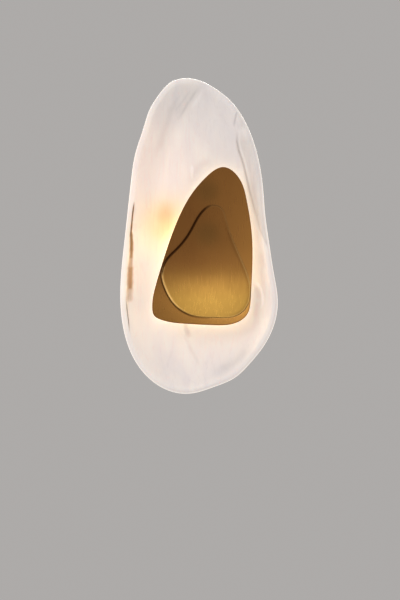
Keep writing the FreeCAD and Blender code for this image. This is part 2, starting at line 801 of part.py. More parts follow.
def make_holder_brackets():
    """Bent straps that carry the lampholders: a foot on the plate, a riser and a tongue."""
    made = []
    low_x = -holder_length / 2 - bracket_width / 2
    for name in lamps:
        tongue = Part.makeBox(bracket_width, bracket_edge + tongue_reach, bracket_sheet,
                              Vector(low_x, -tongue_reach, holder_lift - bracket_sheet))
        riser = Part.makeBox(bracket_width, bracket_sheet, holder_lift,
                             Vector(low_x, bracket_edge - bracket_sheet, 0))
        foot = Part.makeBox(bracket_width, foot_length + bracket_sheet, bracket_sheet,
                            Vector(low_x, bracket_edge - bracket_sheet, 0))
        strap = tongue.fuse(riser).fuse(foot)
        for y, level in ((0, holder_lift - bracket_sheet), (foot_middle, 0)):
            strap = strap.cut(Part.makeCylinder(small_screw_r + hole_gap, bracket_sheet + 2 * over,
                                                Vector(-holder_length / 2, y, level - over)))
        made.append(placed(strap.removeSplitter(), name))
    return made


def make_holder_screws():
    """Two screws for each bracket: one into the plate, one up into the ceramic."""
    made = []
    for name in lamps:
        for y, seat, facing, length in ((foot_middle, bracket_sheet, 1, bracket_sheet + plate_sheet),
                                        (0, holder_lift - bracket_sheet, -1, bracket_sheet + ceramic_bite)):
            head = Part.makeCylinder(small_head_r, small_head_height, Vector(-holder_length / 2, y, seat),
                                     Vector(0, 0, facing))
            shank = Part.makeCylinder(small_screw_r, length, Vector(-holder_length / 2, y, seat),
                                      Vector(0, 0, -facing))
            slot = Part.makeBox(3 * small_head_r, screw_slot, 2 * screw_slot_depth,
                                Vector(-holder_length / 2 - 1.5 * small_head_r, y - screw_slot / 2,
                                       seat + facing * small_head_height - screw_slot_depth))
            made.append(placed(head.cut(slot).fuse(shank).removeSplitter(), name))
    return made


def lamp_capsule(radius, tip):
    """Round-ended bar along a lamp, from its neck to its tip."""
    straight = Part.makeCylinder(radius, tip - radius - lamp_neck, Vector(lamp_neck, 0, lamp_middle),
                                 Vector(1, 0, 0))
    return straight.fuse(Part.makeSphere(radius, Vector(tip - radius, 0, lamp_middle))).removeSplitter()


def make_lamp_envelopes():
    """Frosted tubes with a round end."""
    shell = lamp_capsule(lamp_r, lamp_length).cut(lamp_capsule(lamp_r - lamp_wall, lamp_length - lamp_wall))
    return [placed(shell, name) for name in lamps]


def make_lamp_cores():
    """Strips that carry the light-emitting chips, inside the envelopes."""
    return [placed(Part.makeBox(core_length, core_width, core_sheet,
                                Vector(lamp_neck, -core_width / 2, lamp_middle - core_sheet / 2)), name)
            for name in lamps]


def make_lamp_bases():
    """Flat plug ends of the lamps, seated in the holders' pockets."""
    made = []
    for name in lamps:
        plug = Part.makeBox(pocket_depth - hole_gap + lamp_neck, base_width, base_depth,
                            Vector(-pocket_depth + hole_gap, -base_width / 2, lamp_middle - base_depth / 2))
        plug = plug.makeFillet(base_edge_r, [edge for edge in plug.Edges
                                             if abs(edge.tangentAt(edge.FirstParameter).x) > 0.99])
        made.append(placed(plug, name))
    return made


def make_lamp_pins():
    """Looped wire pins, two on each lamp."""
    made = []
    start = -pocket_depth + hole_gap
    for name in lamps:
        for y in (-pin_pitch / 2, pin_pitch / 2):
            points = [Vector(start, y - pin_loop / 2, lamp_middle),
                      Vector(start - pin_length, y - pin_loop / 2, lamp_middle),
                      Vector(start - pin_length, y + pin_loop / 2, lamp_middle),
                      Vector(start, y + pin_loop / 2, lamp_middle)]
            made.append(placed(tube(points, pin_wire_r, pin_bend_r), name))
    return made


def holder_rear(name, back, step):
    """Point behind a lampholder's recess, at a distance back along its axis and a step out."""
    x, z, turn = lamps[name]
    reach = holder_length - lead_recess + back
    angle = math.radians(turn)
    return at(x - reach * math.cos(angle), z - reach * math.sin(angle), lamp_axis + step)


def make_leads(pole_x, side):
    """Two leads of one pole, through the stem's right (1) or left (-1) half, one to each lampholder."""
    half = lead_circle_r / math.sqrt(2)
    block_z = block_low_z + lead_depth_share * block_height
    behind = stem_low - end_bush_collar - lead_turn_room
    made = []
    for up, name in ((1, "upper"), (-1, "lower")):
        x = side * half
        level = behind if up > 0 else behind - lead_step
        pole = pole_x - up * pole_share
        points = [at(pole, block_z, lead_hole_out), at(pole, block_low_z - lead_drop, lead_hole_out),
                  at(pole, block_low_z - lead_drop - lead_slope, level), at(x, up * half, level)]
        if up > 0:
            out = lamp_axis - side * lead_step / 2
            points += [at(x, half, out)] + [at(way_x, way_z, out) for way_x, way_z in upper_lead_way]
            points += [holder_rear(name, lead_end_gap, -side * lead_step / 2)]
        else:
            points += [at(x, -half, lamp_axis), holder_rear(name, lead_end_gap, 0) + Vector(x, 0, 0)]
        made.append(tube(points, lead_r, lead_bend))
    return made


def make_earth_lead():
    """Earth lead from the block to a ring under the ground screw."""
    seat = bar_rise + bar_sheet
    tag = ring(ground_x, 0, seat, seat + ring_tag_sheet, ring_tag_r, ground_screw_r + thread_gap)
    crimp_out = seat + crimp_r + thread_gap
    crimp_z = ring_tag_r + tag_neck_length / 2
    crimp = Part.makeCylinder(crimp_r, crimp_length, at(ground_x, crimp_z, crimp_out), Vector(0, 0, 1))
    neck = block(ground_x - tag_neck_width / 2, ground_x + tag_neck_width / 2, ring_tag_r - over,
                 ring_tag_r + tag_neck_length, seat, seat + ring_tag_sheet)
    points = [at(poles[0], block_low_z + lead_depth_share * block_height, lead_hole_out),
              at(poles[0], block_low_z - lead_drop, lead_hole_out),
              at(ground_x, crimp_z + crimp_length + earth_straight, crimp_out),
              at(ground_x, crimp_z + crimp_length / 2, crimp_out)]
    return [tag.fuse([neck, crimp, tube(points, lead_r, lead_bend)]).removeSplitter()]


shapes = {
    "wall_bracket": [make_wall_bracket()],
    "ground_screw": [make_ground_screw()],
    "earth_lead": make_earth_lead(),
    "back_pan": [make_back_pan()],
    "rim_gasket": [make_rim_gasket()],
    "side_screws": make_side_screws(),
    "terminal_block": [make_terminal_block()],
    "terminal_inserts": make_terminal_inserts(),
    "terminal_screws": make_terminal_screws(),
    "terminal_block_screw": [make_terminal_block_screw()],
    "live_leads": make_leads(poles[2], 1),
    "neutral_leads": make_leads(poles[1], -1),
    "stem": [make_stem()],
    "stem_washers": make_stem_washers(),
    "stem_nuts": make_stem_nuts(),
    "stem_end_bushes": make_stem_end_bushes(),
    "glass_washer_rear": [make_soft_washer(pan_front)],
    "glass_shell": [make_glass_shell()],
    "glass_bush": [make_glass_bush()],
    "glass_washer_front": [make_soft_washer(glass_front)],
    "tie_screws": make_tie_screws(),
    "tie_sleeves": make_tie_sleeves(),
    "tie_nuts": make_tie_nuts(),
    "lamp_plate": [make_lamp_plate()],
    "upper_lampholder": [make_lampholder("upper")],
    "lower_lampholder": [make_lampholder("lower")],
    "holder_brackets": make_holder_brackets(),
    "holder_screws": make_holder_screws(),
    "lamp_envelopes": make_lamp_envelopes(),
    "lamp_cores": make_lamp_cores(),
    "lamp_bases": make_lamp_bases(),
    "lamp_pins": make_lamp_pins(),
    "cover_posts": make_cover_posts(),
    "post_magnets": make_post_magnets(),
    "cover_cups": make_cover_cups(),
    "rear_leaf": [make_rear_leaf()],
    "front_leaf": [make_front_leaf()],
    "leaf_studs": make_leaf_studs(),
    "leaf_spacers": make_leaf_spacers(),
    "leaf_washers": make_leaf_washers(),
    "leaf_nuts": make_leaf_nuts(),
}

os.makedirs("parts", exist_ok=True)
for name, solids in shapes.items():
    whole = solids[0] if len(solids) == 1 else Part.makeCompound(solids)
    box = whole.BoundBox
    print(name, len(whole.Solids), whole.isValid(), round(whole.Volume, 1),
          [round(v, 1) for v in (box.XMin, box.XMax, -box.YMax, -box.YMin, box.ZMin, box.ZMax)])
    whole.exportStep("parts/" + name + ".step")
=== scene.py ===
"""Shell wall sconce: an opal glass dish on a wall pan, and a brass cover of two leaves over its lamps.

Metres. +Z is up, +X is to the right seen from the front, and the front faces -Y. The wall is at Y = 0.
A piece's distance from the wall, towards the viewer, is called its out distance.
"""
import math

import bmesh
import bpy
import numpy as np
from mathutils import Matrix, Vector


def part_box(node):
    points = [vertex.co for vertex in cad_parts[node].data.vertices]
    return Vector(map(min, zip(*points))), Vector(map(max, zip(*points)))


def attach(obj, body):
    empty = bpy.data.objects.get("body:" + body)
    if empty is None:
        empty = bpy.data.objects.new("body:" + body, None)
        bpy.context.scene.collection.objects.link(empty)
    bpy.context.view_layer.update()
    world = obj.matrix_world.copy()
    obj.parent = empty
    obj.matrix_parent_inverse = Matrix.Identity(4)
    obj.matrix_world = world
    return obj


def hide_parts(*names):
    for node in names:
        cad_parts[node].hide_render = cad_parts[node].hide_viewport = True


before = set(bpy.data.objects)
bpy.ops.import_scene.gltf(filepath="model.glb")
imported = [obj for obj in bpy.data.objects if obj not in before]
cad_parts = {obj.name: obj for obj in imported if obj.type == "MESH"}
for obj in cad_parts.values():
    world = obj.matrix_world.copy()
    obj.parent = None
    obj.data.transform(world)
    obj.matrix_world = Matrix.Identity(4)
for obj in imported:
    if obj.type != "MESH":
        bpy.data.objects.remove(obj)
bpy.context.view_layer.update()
scene = bpy.context.scene
scene.view_settings.view_transform = "Standard"


# Viewpoint
# The light is seen level and square on through a long lens, so that only its front shows.
# The middle of the picture lies below the light's own middle.
picture_width_px = 400
picture_height_px = 600
bracket_px = (202.4, 246.3)
metres_per_px = 0.0012
rim_out = 0.060
camera_distance = 5.0
sensor_mm = 36.0
camera_data = bpy.data.cameras.new("camera")
camera_data.sensor_width = sensor_mm
camera_data.lens = sensor_mm * camera_distance / (picture_height_px * metres_per_px)
camera = bpy.data.objects.new("camera", camera_data)
camera.location = (
    (picture_width_px / 2 - bracket_px[0]) * metres_per_px,
    -rim_out - camera_distance,
    (bracket_px[1] - picture_height_px / 2) * metres_per_px,
)
camera.rotation_euler = (math.pi / 2, 0, 0)
scene.collection.objects.link(camera)
scene.camera = camera


# Studio
# A plain pale floor well below the hanging light, and an even pale room round it. One soft lamp
# stands low on the right, one high on the left and one behind. Each has its place, size, power
# and colour, and whether it shows in the brass.
room_pale = (0.42, 0.405, 0.395)
room_level = 0.42
floor_pale = (0.62, 0.60, 0.585)
floor_roughness = 0.9
floor_z = -1.3
floor_half = 7.0
soft_lamps = {
    "key": ((0.46, -2.15, -0.42), (0.72, 0.64), 4.0, (0.97, 1.06, 0.90), True),
    "fill": ((-1.5, -1.9, 1.2), (1.4, 1.4), 22.0, (0.97, 0.98, 1.0), False),
    "back": ((0.1, 2.0, 0.75), (1.2, 1.2), 17.0, (1.0, 1.0, 1.0), True),
}

world = bpy.data.worlds.new("room")
scene.world = world
world.use_nodes = True
tree = world.node_tree
room_light = tree.nodes["Background"]
room_light.inputs["Color"].default_value = (1, 1, 1, 1)
room_light.inputs["Strength"].default_value = room_level
room_seen = tree.nodes.new("ShaderNodeBackground")
room_seen.inputs["Color"].default_value = (*room_pale, 1)
ray = tree.nodes.new("ShaderNodeLightPath")
direct = tree.nodes.new("ShaderNodeMath")
direct.operation = "MAXIMUM"
tree.links.new(ray.outputs["Is Camera Ray"], direct.inputs[0])
tree.links.new(ray.outputs["Is Glossy Ray"], direct.inputs[1])
straight = tree.nodes.new("ShaderNodeMath")
straight.operation = "MAXIMUM"
tree.links.new(direct.outputs["Value"], straight.inputs[0])
tree.links.new(ray.outputs["Is Transmission Ray"], straight.inputs[1])
choose = tree.nodes.new("ShaderNodeMixShader")
tree.links.new(straight.outputs["Value"], choose.inputs["Fac"])
tree.links.new(room_light.outputs["Background"], choose.inputs[1])
tree.links.new(room_seen.outputs["Background"], choose.inputs[2])
tree.links.new(choose.outputs["Shader"], tree.nodes["World Output"].inputs["Surface"])

for name, (place, size, power, colour, shines) in soft_lamps.items():
    lamp_data = bpy.data.lights.new(name, "AREA")
    lamp_data.shape = "RECTANGLE"
    lamp_data.size, lamp_data.size_y = size
    lamp_data.energy = power
    lamp_data.color = colour
    lamp = bpy.data.objects.new(name, lamp_data)
    lamp.location = place
    lamp.rotation_euler = (-lamp.location).to_track_quat("-Z", "Y").to_euler()
    lamp.visible_camera = False
    lamp.visible_glossy = shines
    scene.collection.objects.link(lamp)

floor_mesh = bpy.data.meshes.new("floor")
floor_corners = [
    (-floor_half, -floor_half, floor_z),
    (floor_half, -floor_half, floor_z),
    (floor_half, floor_half, floor_z),
    (-floor_half, floor_half, floor_z),
]
floor_mesh.from_pydata(floor_corners, [], [(0, 1, 2, 3)])
floor = bpy.data.objects.new("floor", floor_mesh)
scene.collection.objects.link(floor)
floor_paint = bpy.data.materials.new("floor_paint")
floor_paint.use_nodes = True
floor_shader = floor_paint.node_tree.nodes["Principled BSDF"]
floor_shader.inputs["Base Color"].default_value = (*floor_pale, 1)
floor_shader.inputs["Roughness"].default_value = floor_roughness
floor_mesh.materials.append(floor_paint)


# Wall bracket
# Flat steel bar, 20 mm wide, punched and bent in one tool and zinc plated. Two screws of the wall
# box hold it by its slots; plating leaves a faint grey-blue mottle over the rolled grain.
def new_finish(name, colour, roughness, metallic=0.0):
    """Material with its plain values set, and its shader."""
    made = bpy.data.materials.new(name)
    made.use_nodes = True
    shader = made.node_tree.nodes["Principled BSDF"]
    shader.inputs["Base Color"].default_value = (*colour, 1)
    shader.inputs["Roughness"].default_value = roughness
    shader.inputs["Metallic"].default_value = metallic
    return made, shader


def put(finish, kind, inputs, **settings):
    """Adds a node to a finish. An input takes a value or another node's output."""
    node = finish.node_tree.nodes.new("ShaderNode" + kind)
    for key, value in settings.items():
        setattr(node, key, value)
    for key, value in inputs.items():
        if isinstance(value, bpy.types.NodeSocket):
            finish.node_tree.links.new(value, node.inputs[key])
        else:
            node.inputs[key].default_value = value
    return node


def position(finish):
    """Place on the object, in metres."""
    return put(finish, "TexCoord", {}).outputs["Object"]


def clouds(finish, size, stretch=(1, 1, 1), detail=3.0, swirl=0.0):
    """Soft random pattern with features of one size, drawn out along each axis by stretch."""
    drawn = put(finish, "Mapping", {"Vector": position(finish), "Scale": [1 / s for s in stretch]})
    cloud = put(finish, "TexNoise", {"Vector": drawn.outputs["Vector"], "Scale": 1 / size,
                                     "Detail": detail, "Distortion": swirl})
    return cloud.outputs["Fac"]


def between(finish, factor, low, high, first=0.3, last=0.7):
    """Number that goes from low to high as the factor goes from first to last."""
    ramp = put(finish, "MapRange", {"Value": factor, "From Min": first, "From Max": last,
                                    "To Min": low, "To Max": high})
    return ramp.outputs["Result"]


def blended(finish, factor, first, second):
    """Colour that goes from the first to the second; each is a plain colour or an output."""
    ends = []
    for colour in (first, second):
        ends.append(colour if isinstance(colour, bpy.types.NodeSocket) else (*colour, 1))
    mixed = put(finish, "MixRGB", {"Fac": factor, "Color1": ends[0], "Color2": ends[1]})
    return mixed.outputs["Color"]


def feed(finish, shader, **outputs):
    """Links outputs to the shader's inputs, given with _ for a space."""
    for key, output in outputs.items():
        finish.node_tree.links.new(output, shader.inputs[key.replace("_", " ")])


def relief(finish, shader, height, depth):
    """Gives the surface a fine relief of a depth in metres."""
    bump = put(finish, "Bump", {"Height": height, "Distance": depth, "Strength": 1.0})
    finish.node_tree.links.new(bump.outputs["Normal"], shader.inputs["Normal"])


def dress(finish, slot, *nodes):
    """Gives CAD nodes their finish."""
    for name in nodes:
        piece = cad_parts[name]
        piece.data.materials.clear()
        piece.data.materials.append(finish)


def mottled(name, colours, roughness, spot_size, detail=3.0, metallic=0.0):
    """Finish whose colour and roughness wander together between two values, in soft spots."""
    finish, shader = new_finish(name, colours[0], roughness[0], metallic)
    spots = clouds(finish, spot_size, detail=detail)
    feed(finish, shader, Base_Color=blended(finish, between(finish, spots, 0, 1), *colours),
         Roughness=between(finish, spots, *roughness))
    return finish, shader


def plated_steel(name, light, dark, thread_pitch=0.0):
    """Zinc or nickel plating on rolled steel, with a thread's ridges where a pitch is given.

    The ridges are a wave pattern, whose waves are pi / 10 long at a scale of 1.
    """
    finish, shader = mottled(name, (light, dark), (0.28, 0.46), 0.006, detail=4.0, metallic=1.0)
    if thread_pitch:
        wave_length = math.pi / 10
        ridges = put(finish, "TexWave", {"Vector": position(finish), "Scale": wave_length / thread_pitch},
                     bands_direction="Y")
        relief(finish, shader, ridges.outputs["Fac"], 0.3 * thread_pitch)
    else:
        grain = clouds(finish, 0.0006, (12, 1, 1))
        relief(finish, shader, grain, 0.00002)
    return finish


zinc = plated_steel("zinc_plating", (0.63, 0.65, 0.66), (0.50, 0.52, 0.54))
dress(zinc, "zinc_steel", "wall_bracket")


# Earth connection
# A green passivated screw clamps the ring terminal of the earth lead on the bar. The lead has
# green PVC insulation, which is soft and a little shiny.
green_plating = plated_steel("green_plating", (0.13, 0.42, 0.20), (0.08, 0.30, 0.14))
dress(green_plating, "green_steel", "ground_screw")


def lead_cover(name, colour):
    """PVC insulation, a little shiny and slightly uneven."""
    darker = [0.75 * c for c in colour]
    finish, shader = mottled(name, (colour, darker), (0.34, 0.52), 0.004, detail=2.0)
    shader.inputs["Specular IOR Level"].default_value = 0.45
    relief(finish, shader, clouds(finish, 0.0007), 0.00003)
    return finish


dress(lead_cover("green_insulation", (0.10, 0.38, 0.12)), "lead_green", "earth_lead")


# Wall pan
# Round canopy pan, spun from sheet and brass plated, with fine lathe lines that run round it. Its
# edge sits in a black rubber bead on the wall, and two knurled screws hold it on the bracket.
def spun_lines(finish, width):
    """Fine random lines that run round the Y axis, for a piece turned or spun about it."""
    part = put(finish, "SeparateXYZ", {"Vector": position(finish)})
    flat = put(finish, "CombineXYZ", {"X": part.outputs["X"], "Z": part.outputs["Z"]})
    radius = put(finish, "VectorMath", {0: flat.outputs["Vector"]}, operation="LENGTH")
    section = put(finish, "CombineXYZ", {"X": radius.outputs["Value"], "Y": part.outputs["Y"]})
    lines = put(finish, "TexNoise", {"Vector": section.outputs["Vector"], "Scale": 1 / width,
                                     "Detail": 2.0})
    return lines.outputs["Fac"]


pan_light = (0.55, 0.36, 0.15)
pan_dark = (0.42, 0.25, 0.09)
pan_brass, pan_shader = new_finish("spun_brass", pan_light, 0.30, 1.0)
tarnish = between(pan_brass, clouds(pan_brass, 0.03, detail=4.0), 0, 1)
pan_lines = spun_lines(pan_brass, 0.0009)
feed(pan_brass, pan_shader, Base_Color=blended(pan_brass, tarnish, pan_light, pan_dark),
     Roughness=between(pan_brass, pan_lines, 0.24, 0.40))
relief(pan_brass, pan_shader, pan_lines, 0.00004)
dress(pan_brass, "pan_brass", "back_pan")

screw_colours = ((0.60, 0.40, 0.17), (0.45, 0.28, 0.10))
screw_brass, screw_shader = mottled("turned_brass", screw_colours, (0.18, 0.38), 0.002, metallic=1.0)
relief(screw_brass, screw_shader, clouds(screw_brass, 0.0004), 0.00001)
dress(screw_brass, "pan_brass", "side_screws")

rubber_colours = ((0.018, 0.018, 0.019), (0.035, 0.034, 0.033))
rubber, rubber_shader = mottled("bead_rubber", rubber_colours, (0.60, 0.85), 0.012, detail=4.0)
relief(rubber, rubber_shader, clouds(rubber, 0.0005), 0.00005)
dress(rubber, "black_rubber", "rim_gasket")


# Terminal block
# Three-pole block of moulded nylon, which lets a little light through, with a nickel-plated tube
# in each pole and two clamp screws across it. One screw holds it on the inside of the pan.
nylon_colours = ((0.740, 0.720, 0.640), (0.696, 0.655, 0.525))
nylon, nylon_shader = mottled("natural_nylon", nylon_colours, (0.38, 0.55), 0.005)
nylon_shader.inputs["Subsurface Weight"].default_value = 0.25
nylon_shader.inputs["Subsurface Scale"].default_value = 0.002
relief(nylon, nylon_shader, clouds(nylon, 0.0008), 0.00003)
dress(nylon, "nylon", "terminal_block")
nickel = plated_steel("nickel_plating", (0.66, 0.62, 0.56), (0.56, 0.52, 0.46))
dress(nickel, "nickel", "terminal_inserts")
dress(zinc, "zinc_steel", "terminal_screws", "terminal_block_screw")


# Leads
# A brown live lead and a blue neutral lead run from the block through the hollow stem to each
# lampholder, under their PVC insulation.
dress(lead_cover("brown_insulation", (0.20, 0.085, 0.040)), "lead_brown", "live_leads")
dress(lead_cover("blue_insulation", (0.055, 0.14, 0.42)), "lead_blue", "neutral_leads")


# Stem
# Hollow threaded tube that clamps pan, glass and lamp plate between two thin nuts, with a washer
# under each nut and a nylon bush in each end.
stem_pitch = 0.001
threaded = plated_steel("fine_thread", (0.62, 0.64, 0.65), (0.48, 0.50, 0.52), stem_pitch)
dress(threaded, "zinc_steel", "stem")
dress(zinc, "zinc_steel", "stem_washers", "stem_nuts")
dress(nylon, "nylon", "stem_end_bushes")


# Glass dish
# Thick opal glass, slumped hot over a form and then fire polished, so that its rim is round and
# its face waves a little. The right side is folded, a seam is sunk in the left side, and the
# colour lies in cloudy swirls with grey wisps. Warm orange light by the lamps is painted in.
dish_low, dish_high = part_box("glass_shell")
dish_wall = 0.009
dish_flat_out = -dish_high.y
dish_rim_out = -dish_low.y
dish_centre = np.array([-0.005, 0.005])
dish_flat_share = 0.48
dish_curl = 2.6
lip_wave = 0.0016
lip_waves = 3
lip_wave_start = 0.6
stem_hole_r = 0.0062
tie_hole_r = 0.004
tie_x = 0.024
dish_outline = [
    (-0.090, 0.532), (0.013, 0.519), (0.101, 0.493), (0.154, 0.473), (0.239, 0.424),
    (0.303, 0.363), (0.354, 0.284), (0.388, 0.175), (0.398, 0.110), (0.428, 0.000),
    (0.456, -0.089), (0.480, -0.174), (0.459, -0.245), (0.395, -0.313), (0.292, -0.377),
    (0.219, -0.412), (0.072, -0.446), (-0.090, -0.467), (-0.230, -0.454), (-0.351, -0.413),
    (-0.447, -0.346), (-0.500, -0.268), (-0.522, -0.174), (-0.498, 0.010), (-0.455, 0.205),
    (-0.422, 0.303), (-0.377, 0.371), (-0.335, 0.434), (-0.286, 0.474), (-0.191, 0.522),
]
fold_line = [
    (0.0412, 0.1400), (0.0413, 0.1264), (0.0434, 0.1156), (0.0472, 0.1049), (0.0498, 0.0955),
    (0.0524, 0.0848), (0.0558, 0.0689), (0.0598, 0.0529), (0.0642, 0.0355), (0.0686, 0.0192),
    (0.0758, 0.0036), (0.0805, -0.0068),
]
fold_rise = 0.0016
fold_rise_reach = 0.014
fold_step_width = 0.0016
fold_ridge = 0.0006
fold_ridge_width = 0.0016
fold_shade_reach = 0.030
fold_shade_line_width = 0.0012
fold_highlight_gap = 0.0028
fold_highlight_width = 0.0014
seam_line = [
    (-0.0818, 0.0540), (-0.0838, 0.0380), (-0.0856, 0.0178), (-0.0850, 0.0035), (-0.0853, -0.0095),
    (-0.0862, -0.0214), (-0.0868, -0.0379), (-0.0869, -0.0498), (-0.0876, -0.0593), (-0.0876, -0.0676),
]
seam_dip = 0.0008
seam_dip_width = 0.0022
seam_tail = [(-0.0917, -0.0596), (-0.0905, -0.0752), (-0.0887, -0.0896), (-0.0871, -0.1052)]
tail_width = 0.0006
# Half width of the seam's coloured band at each height.
seam_widths = [(0.054, 0.0007), (0.018, 0.0009), (0.013, 0.0016), (-0.003, 0.0018), (-0.016, 0.0019),
               (-0.024, 0.0023), (-0.026, 0.0030), (-0.050, 0.0029), (-0.052, 0.0034), (-0.068, 0.0030)]
# How far the seam's brown, and the darker brown over it, show at each height.
seam_tones = [(0.054, 0.90), (0.018, 1.0), (-0.004, 1.0), (-0.007, 0.94), (-0.013, 0.92), (-0.015, 0.68),
              (-0.024, 0.66), (-0.026, 0.91), (-0.050, 0.95), (-0.052, 0.50), (-0.068, 0.40)]
seam_darks = [(0.054, 0.90), (0.018, 0.85), (0.010, 0.80), (-0.004, 0.75), (-0.007, 0.40), (-0.013, 0.35),
              (-0.015, 0.10), (-0.050, 0.10)]
# Each wisp and gleam: its line, its half width and its strength.
wisp_lines = [
    ([(0.0418, 0.163), (0.0394, 0.153), (0.0374, 0.143)], 0.0011, 1.6),
    ([(0.0475, 0.163), (0.0470, 0.150), (0.0480, 0.138)], 0.0045, 0.7),
    ([(-0.002, 0.195), (-0.010, 0.183), (-0.018, 0.172), (-0.024, 0.161), (-0.033, 0.149)], 0.0020, 1.0),
    ([(-0.010, 0.192), (-0.019, 0.181), (-0.027, 0.170), (-0.037, 0.158)], 0.0022, 0.8),
    ([(-0.006, 0.192), (-0.016, 0.179), (-0.025, 0.167), (-0.034, 0.154)], 0.0070, 0.5),
    ([(0.010, 0.200), (-0.006, 0.193), (-0.020, 0.184), (-0.034, 0.168)], 0.0110, 0.4),
    ([(-0.022, 0.187), (-0.033, 0.173), (-0.041, 0.157)], 0.0026, 0.5),
    ([(-0.022, 0.179), (-0.037, 0.165), (-0.044, 0.145), (-0.051, 0.122), (-0.060, 0.105)], 0.0040, 0.55),
    ([(0.011, 0.104), (0.000, 0.100), (-0.012, 0.088), (-0.015, 0.074)], 0.0040, 0.6),
    ([(-0.0215, -0.088), (-0.0190, -0.099), (-0.0150, -0.112)], 0.0034, 1.0),
    ([(-0.030, -0.092), (-0.022, -0.110), (-0.010, -0.131), (0.001, -0.150)], 0.0024, 0.5),
    ([(0.058, -0.116), (0.049, -0.128), (0.040, -0.138), (0.025, -0.147), (0.009, -0.158)], 0.0062, 0.55),
    ([(0.0632, -0.0465), (0.0668, -0.0560), (0.0668, -0.0660)], 0.0031, 0.5),
    ([(0.0664, -0.0650), (0.0640, -0.0760), (0.0618, -0.0880)], 0.0036, 0.5),
    ([(0.074, -0.028), (0.070, -0.005)], 0.0030, 0.5),
]
gleam_lines = [
    ([(0.0605, -0.0420), (0.0669, -0.0456), (0.0706, -0.0515), (0.0725, -0.0600), (0.0724, -0.0690),
      (0.0694, -0.0770)], 0.0011, 1.2),
    ([(-0.012, 0.097), (-0.013, 0.081)], 0.0016, 0.8),
    ([(-0.027, -0.096), (-0.022, -0.112), (-0.015, -0.126)], 0.0020, 0.3),
    ([(0.003, 0.190), (-0.006, 0.177), (-0.014, 0.164)], 0.0022, 0.35),
]


def closed_curve(points, count):
    """Evenly spaced points on the smooth closed curve through a few, and the inward normals there."""
    points = np.array(points, float)
    following = np.roll(points, -1, 0)
    step = np.linalg.norm(following - points, axis=1)
    slope = (following - points) / step[:, None]
    few = len(points)
    matrix = np.zeros((few, few))
    for i in range(few):
        matrix[i, i - 1] = step[i - 1]
        matrix[i, i] = 2 * (step[i - 1] + step[i])
        matrix[i, (i + 1) % few] = step[i]
    bend = np.linalg.solve(matrix, 6 * (slope - np.roll(slope, 1, 0)))
    next_bend = np.roll(bend, -1, 0)
    fine_steps = 40
    fine = []
    for i in range(few):
        for t in np.linspace(0, 1, fine_steps, endpoint=False):
            s = 1 - t
            curved = (s ** 3 - s) * bend[i] + (t ** 3 - t) * next_bend[i]
            fine.append(s * points[i] + t * following[i] + curved * step[i] ** 2 / 6)
    fine = np.array(fine + fine[:1])
    run = np.concatenate([[0], np.cumsum(np.linalg.norm(np.diff(fine, axis=0), axis=1))])
    even = np.linspace(0, run[-1], count, endpoint=False)
    curve = np.stack([np.interp(even, run, fine[:, k]) for k in (0, 1)], axis=1)
    along = np.roll(curve, -1, 0) - np.roll(curve, 1, 0)
    along /= np.linalg.norm(along, axis=1)[:, None]
    return curve, np.stack([along[:, 1], -along[:, 0]], axis=1)


def fitted_outline(shares, low, high, count):
    """Outline in metres that fills a node's box exactly, from its clockwise shares."""
    curve, inward = closed_curve(shares, count)
    span = curve.max(0) - curve.min(0)
    size = np.array([high.x - low.x, high.z - low.z])
    shares = (np.array(shares) - curve.min(0)) / span * size + np.array([low.x, low.z])
    return closed_curve(shares, count)


def ring_mesh(name, rings, closed=False):
    """Smooth mesh over rings of equally many points; a closed one joins its last ring to its first."""
    count = len(rings[0])
    last = len(rings) if closed else len(rings) - 1
    faces = []
    for r in range(last):
        near = r * count
        far = ((r + 1) % len(rings)) * count
        for i in range(count):
            j = (i + 1) % count
            faces.append((near + i, near + j, far + j, far + i))
    mesh = bpy.data.meshes.new(name)
    mesh.from_pydata(np.concatenate(rings).tolist(), [], faces)
    mesh.polygons.foreach_set("use_smooth", [True] * len(faces))
    made = bpy.data.objects.new(name, mesh)
    scene.collection.objects.link(made)
    return made


def line_distance(points, line):
    """Distance of each (x, z) point from a run of straight pieces, and its share along them."""
    line = np.array(line)
    best = np.full(len(points), 1e9)
    share = np.zeros(len(points))
    for k in range(len(line) - 1):
        run = line[k + 1] - line[k]
        t = np.clip(((points - line[k]) @ run) / (run @ run), 0, 1)
        distance = np.linalg.norm(points - line[k] - t[:, None] * run, axis=1)
        nearer = distance < best
        best = np.where(nearer, distance, best)
        share = np.where(nearer, (k + t) / (len(line) - 1), share)
    return best, share


dish_around = 520
back_ring_count = 34
rim_ring_count = 16
front_ring_count = 80
front_crowding = 1.25
back_floor_count = 14
front_floor_count = 20
dish_edge, dish_inward = fitted_outline(dish_outline, dish_low, dish_high, dish_around)
turn = 2 * math.pi * np.arange(dish_around) / dish_around
rim_level = dish_rim_out - lip_wave + lip_wave * np.cos(lip_waves * turn + lip_wave_start)
rim_r = dish_wall / 2


def dish_ring(inset, share, level):
    """Ring at a share of the way from the rim, moved in by inset, to the flat middle."""
    start = dish_edge + dish_inward * inset
    flat_edge = dish_centre + (dish_edge - dish_centre) * dish_flat_share
    plan = start + (flat_edge - start) * share
    return np.stack([plan[:, 0], -level, plan[:, 1]], axis=1)


def side_ring(inset, drop, flat_out, share):
    """Ring on the rising side of the dish, which starts a drop below the top of the rim."""
    return dish_ring(inset, share, flat_out + (rim_level - drop - flat_out) * (1 - share) ** dish_curl)


def floor_rings(flat_out, count):
    """Rings over the dish's flat middle, which turn from its outline to the round stem hole."""
    flat_edge = dish_centre + (dish_edge - dish_centre) * dish_flat_share
    bearing = np.arctan2(flat_edge[:, 1], flat_edge[:, 0])
    hole = stem_hole_r * np.stack([np.cos(bearing), np.sin(bearing)], axis=1)
    made = []
    for share in np.linspace(0, 1, count)[1:]:
        plan = flat_edge + (hole - flat_edge) * share
        made.append(np.stack([plan[:, 0], np.full(dish_around, -flat_out), plan[:, 1]], axis=1))
    return made


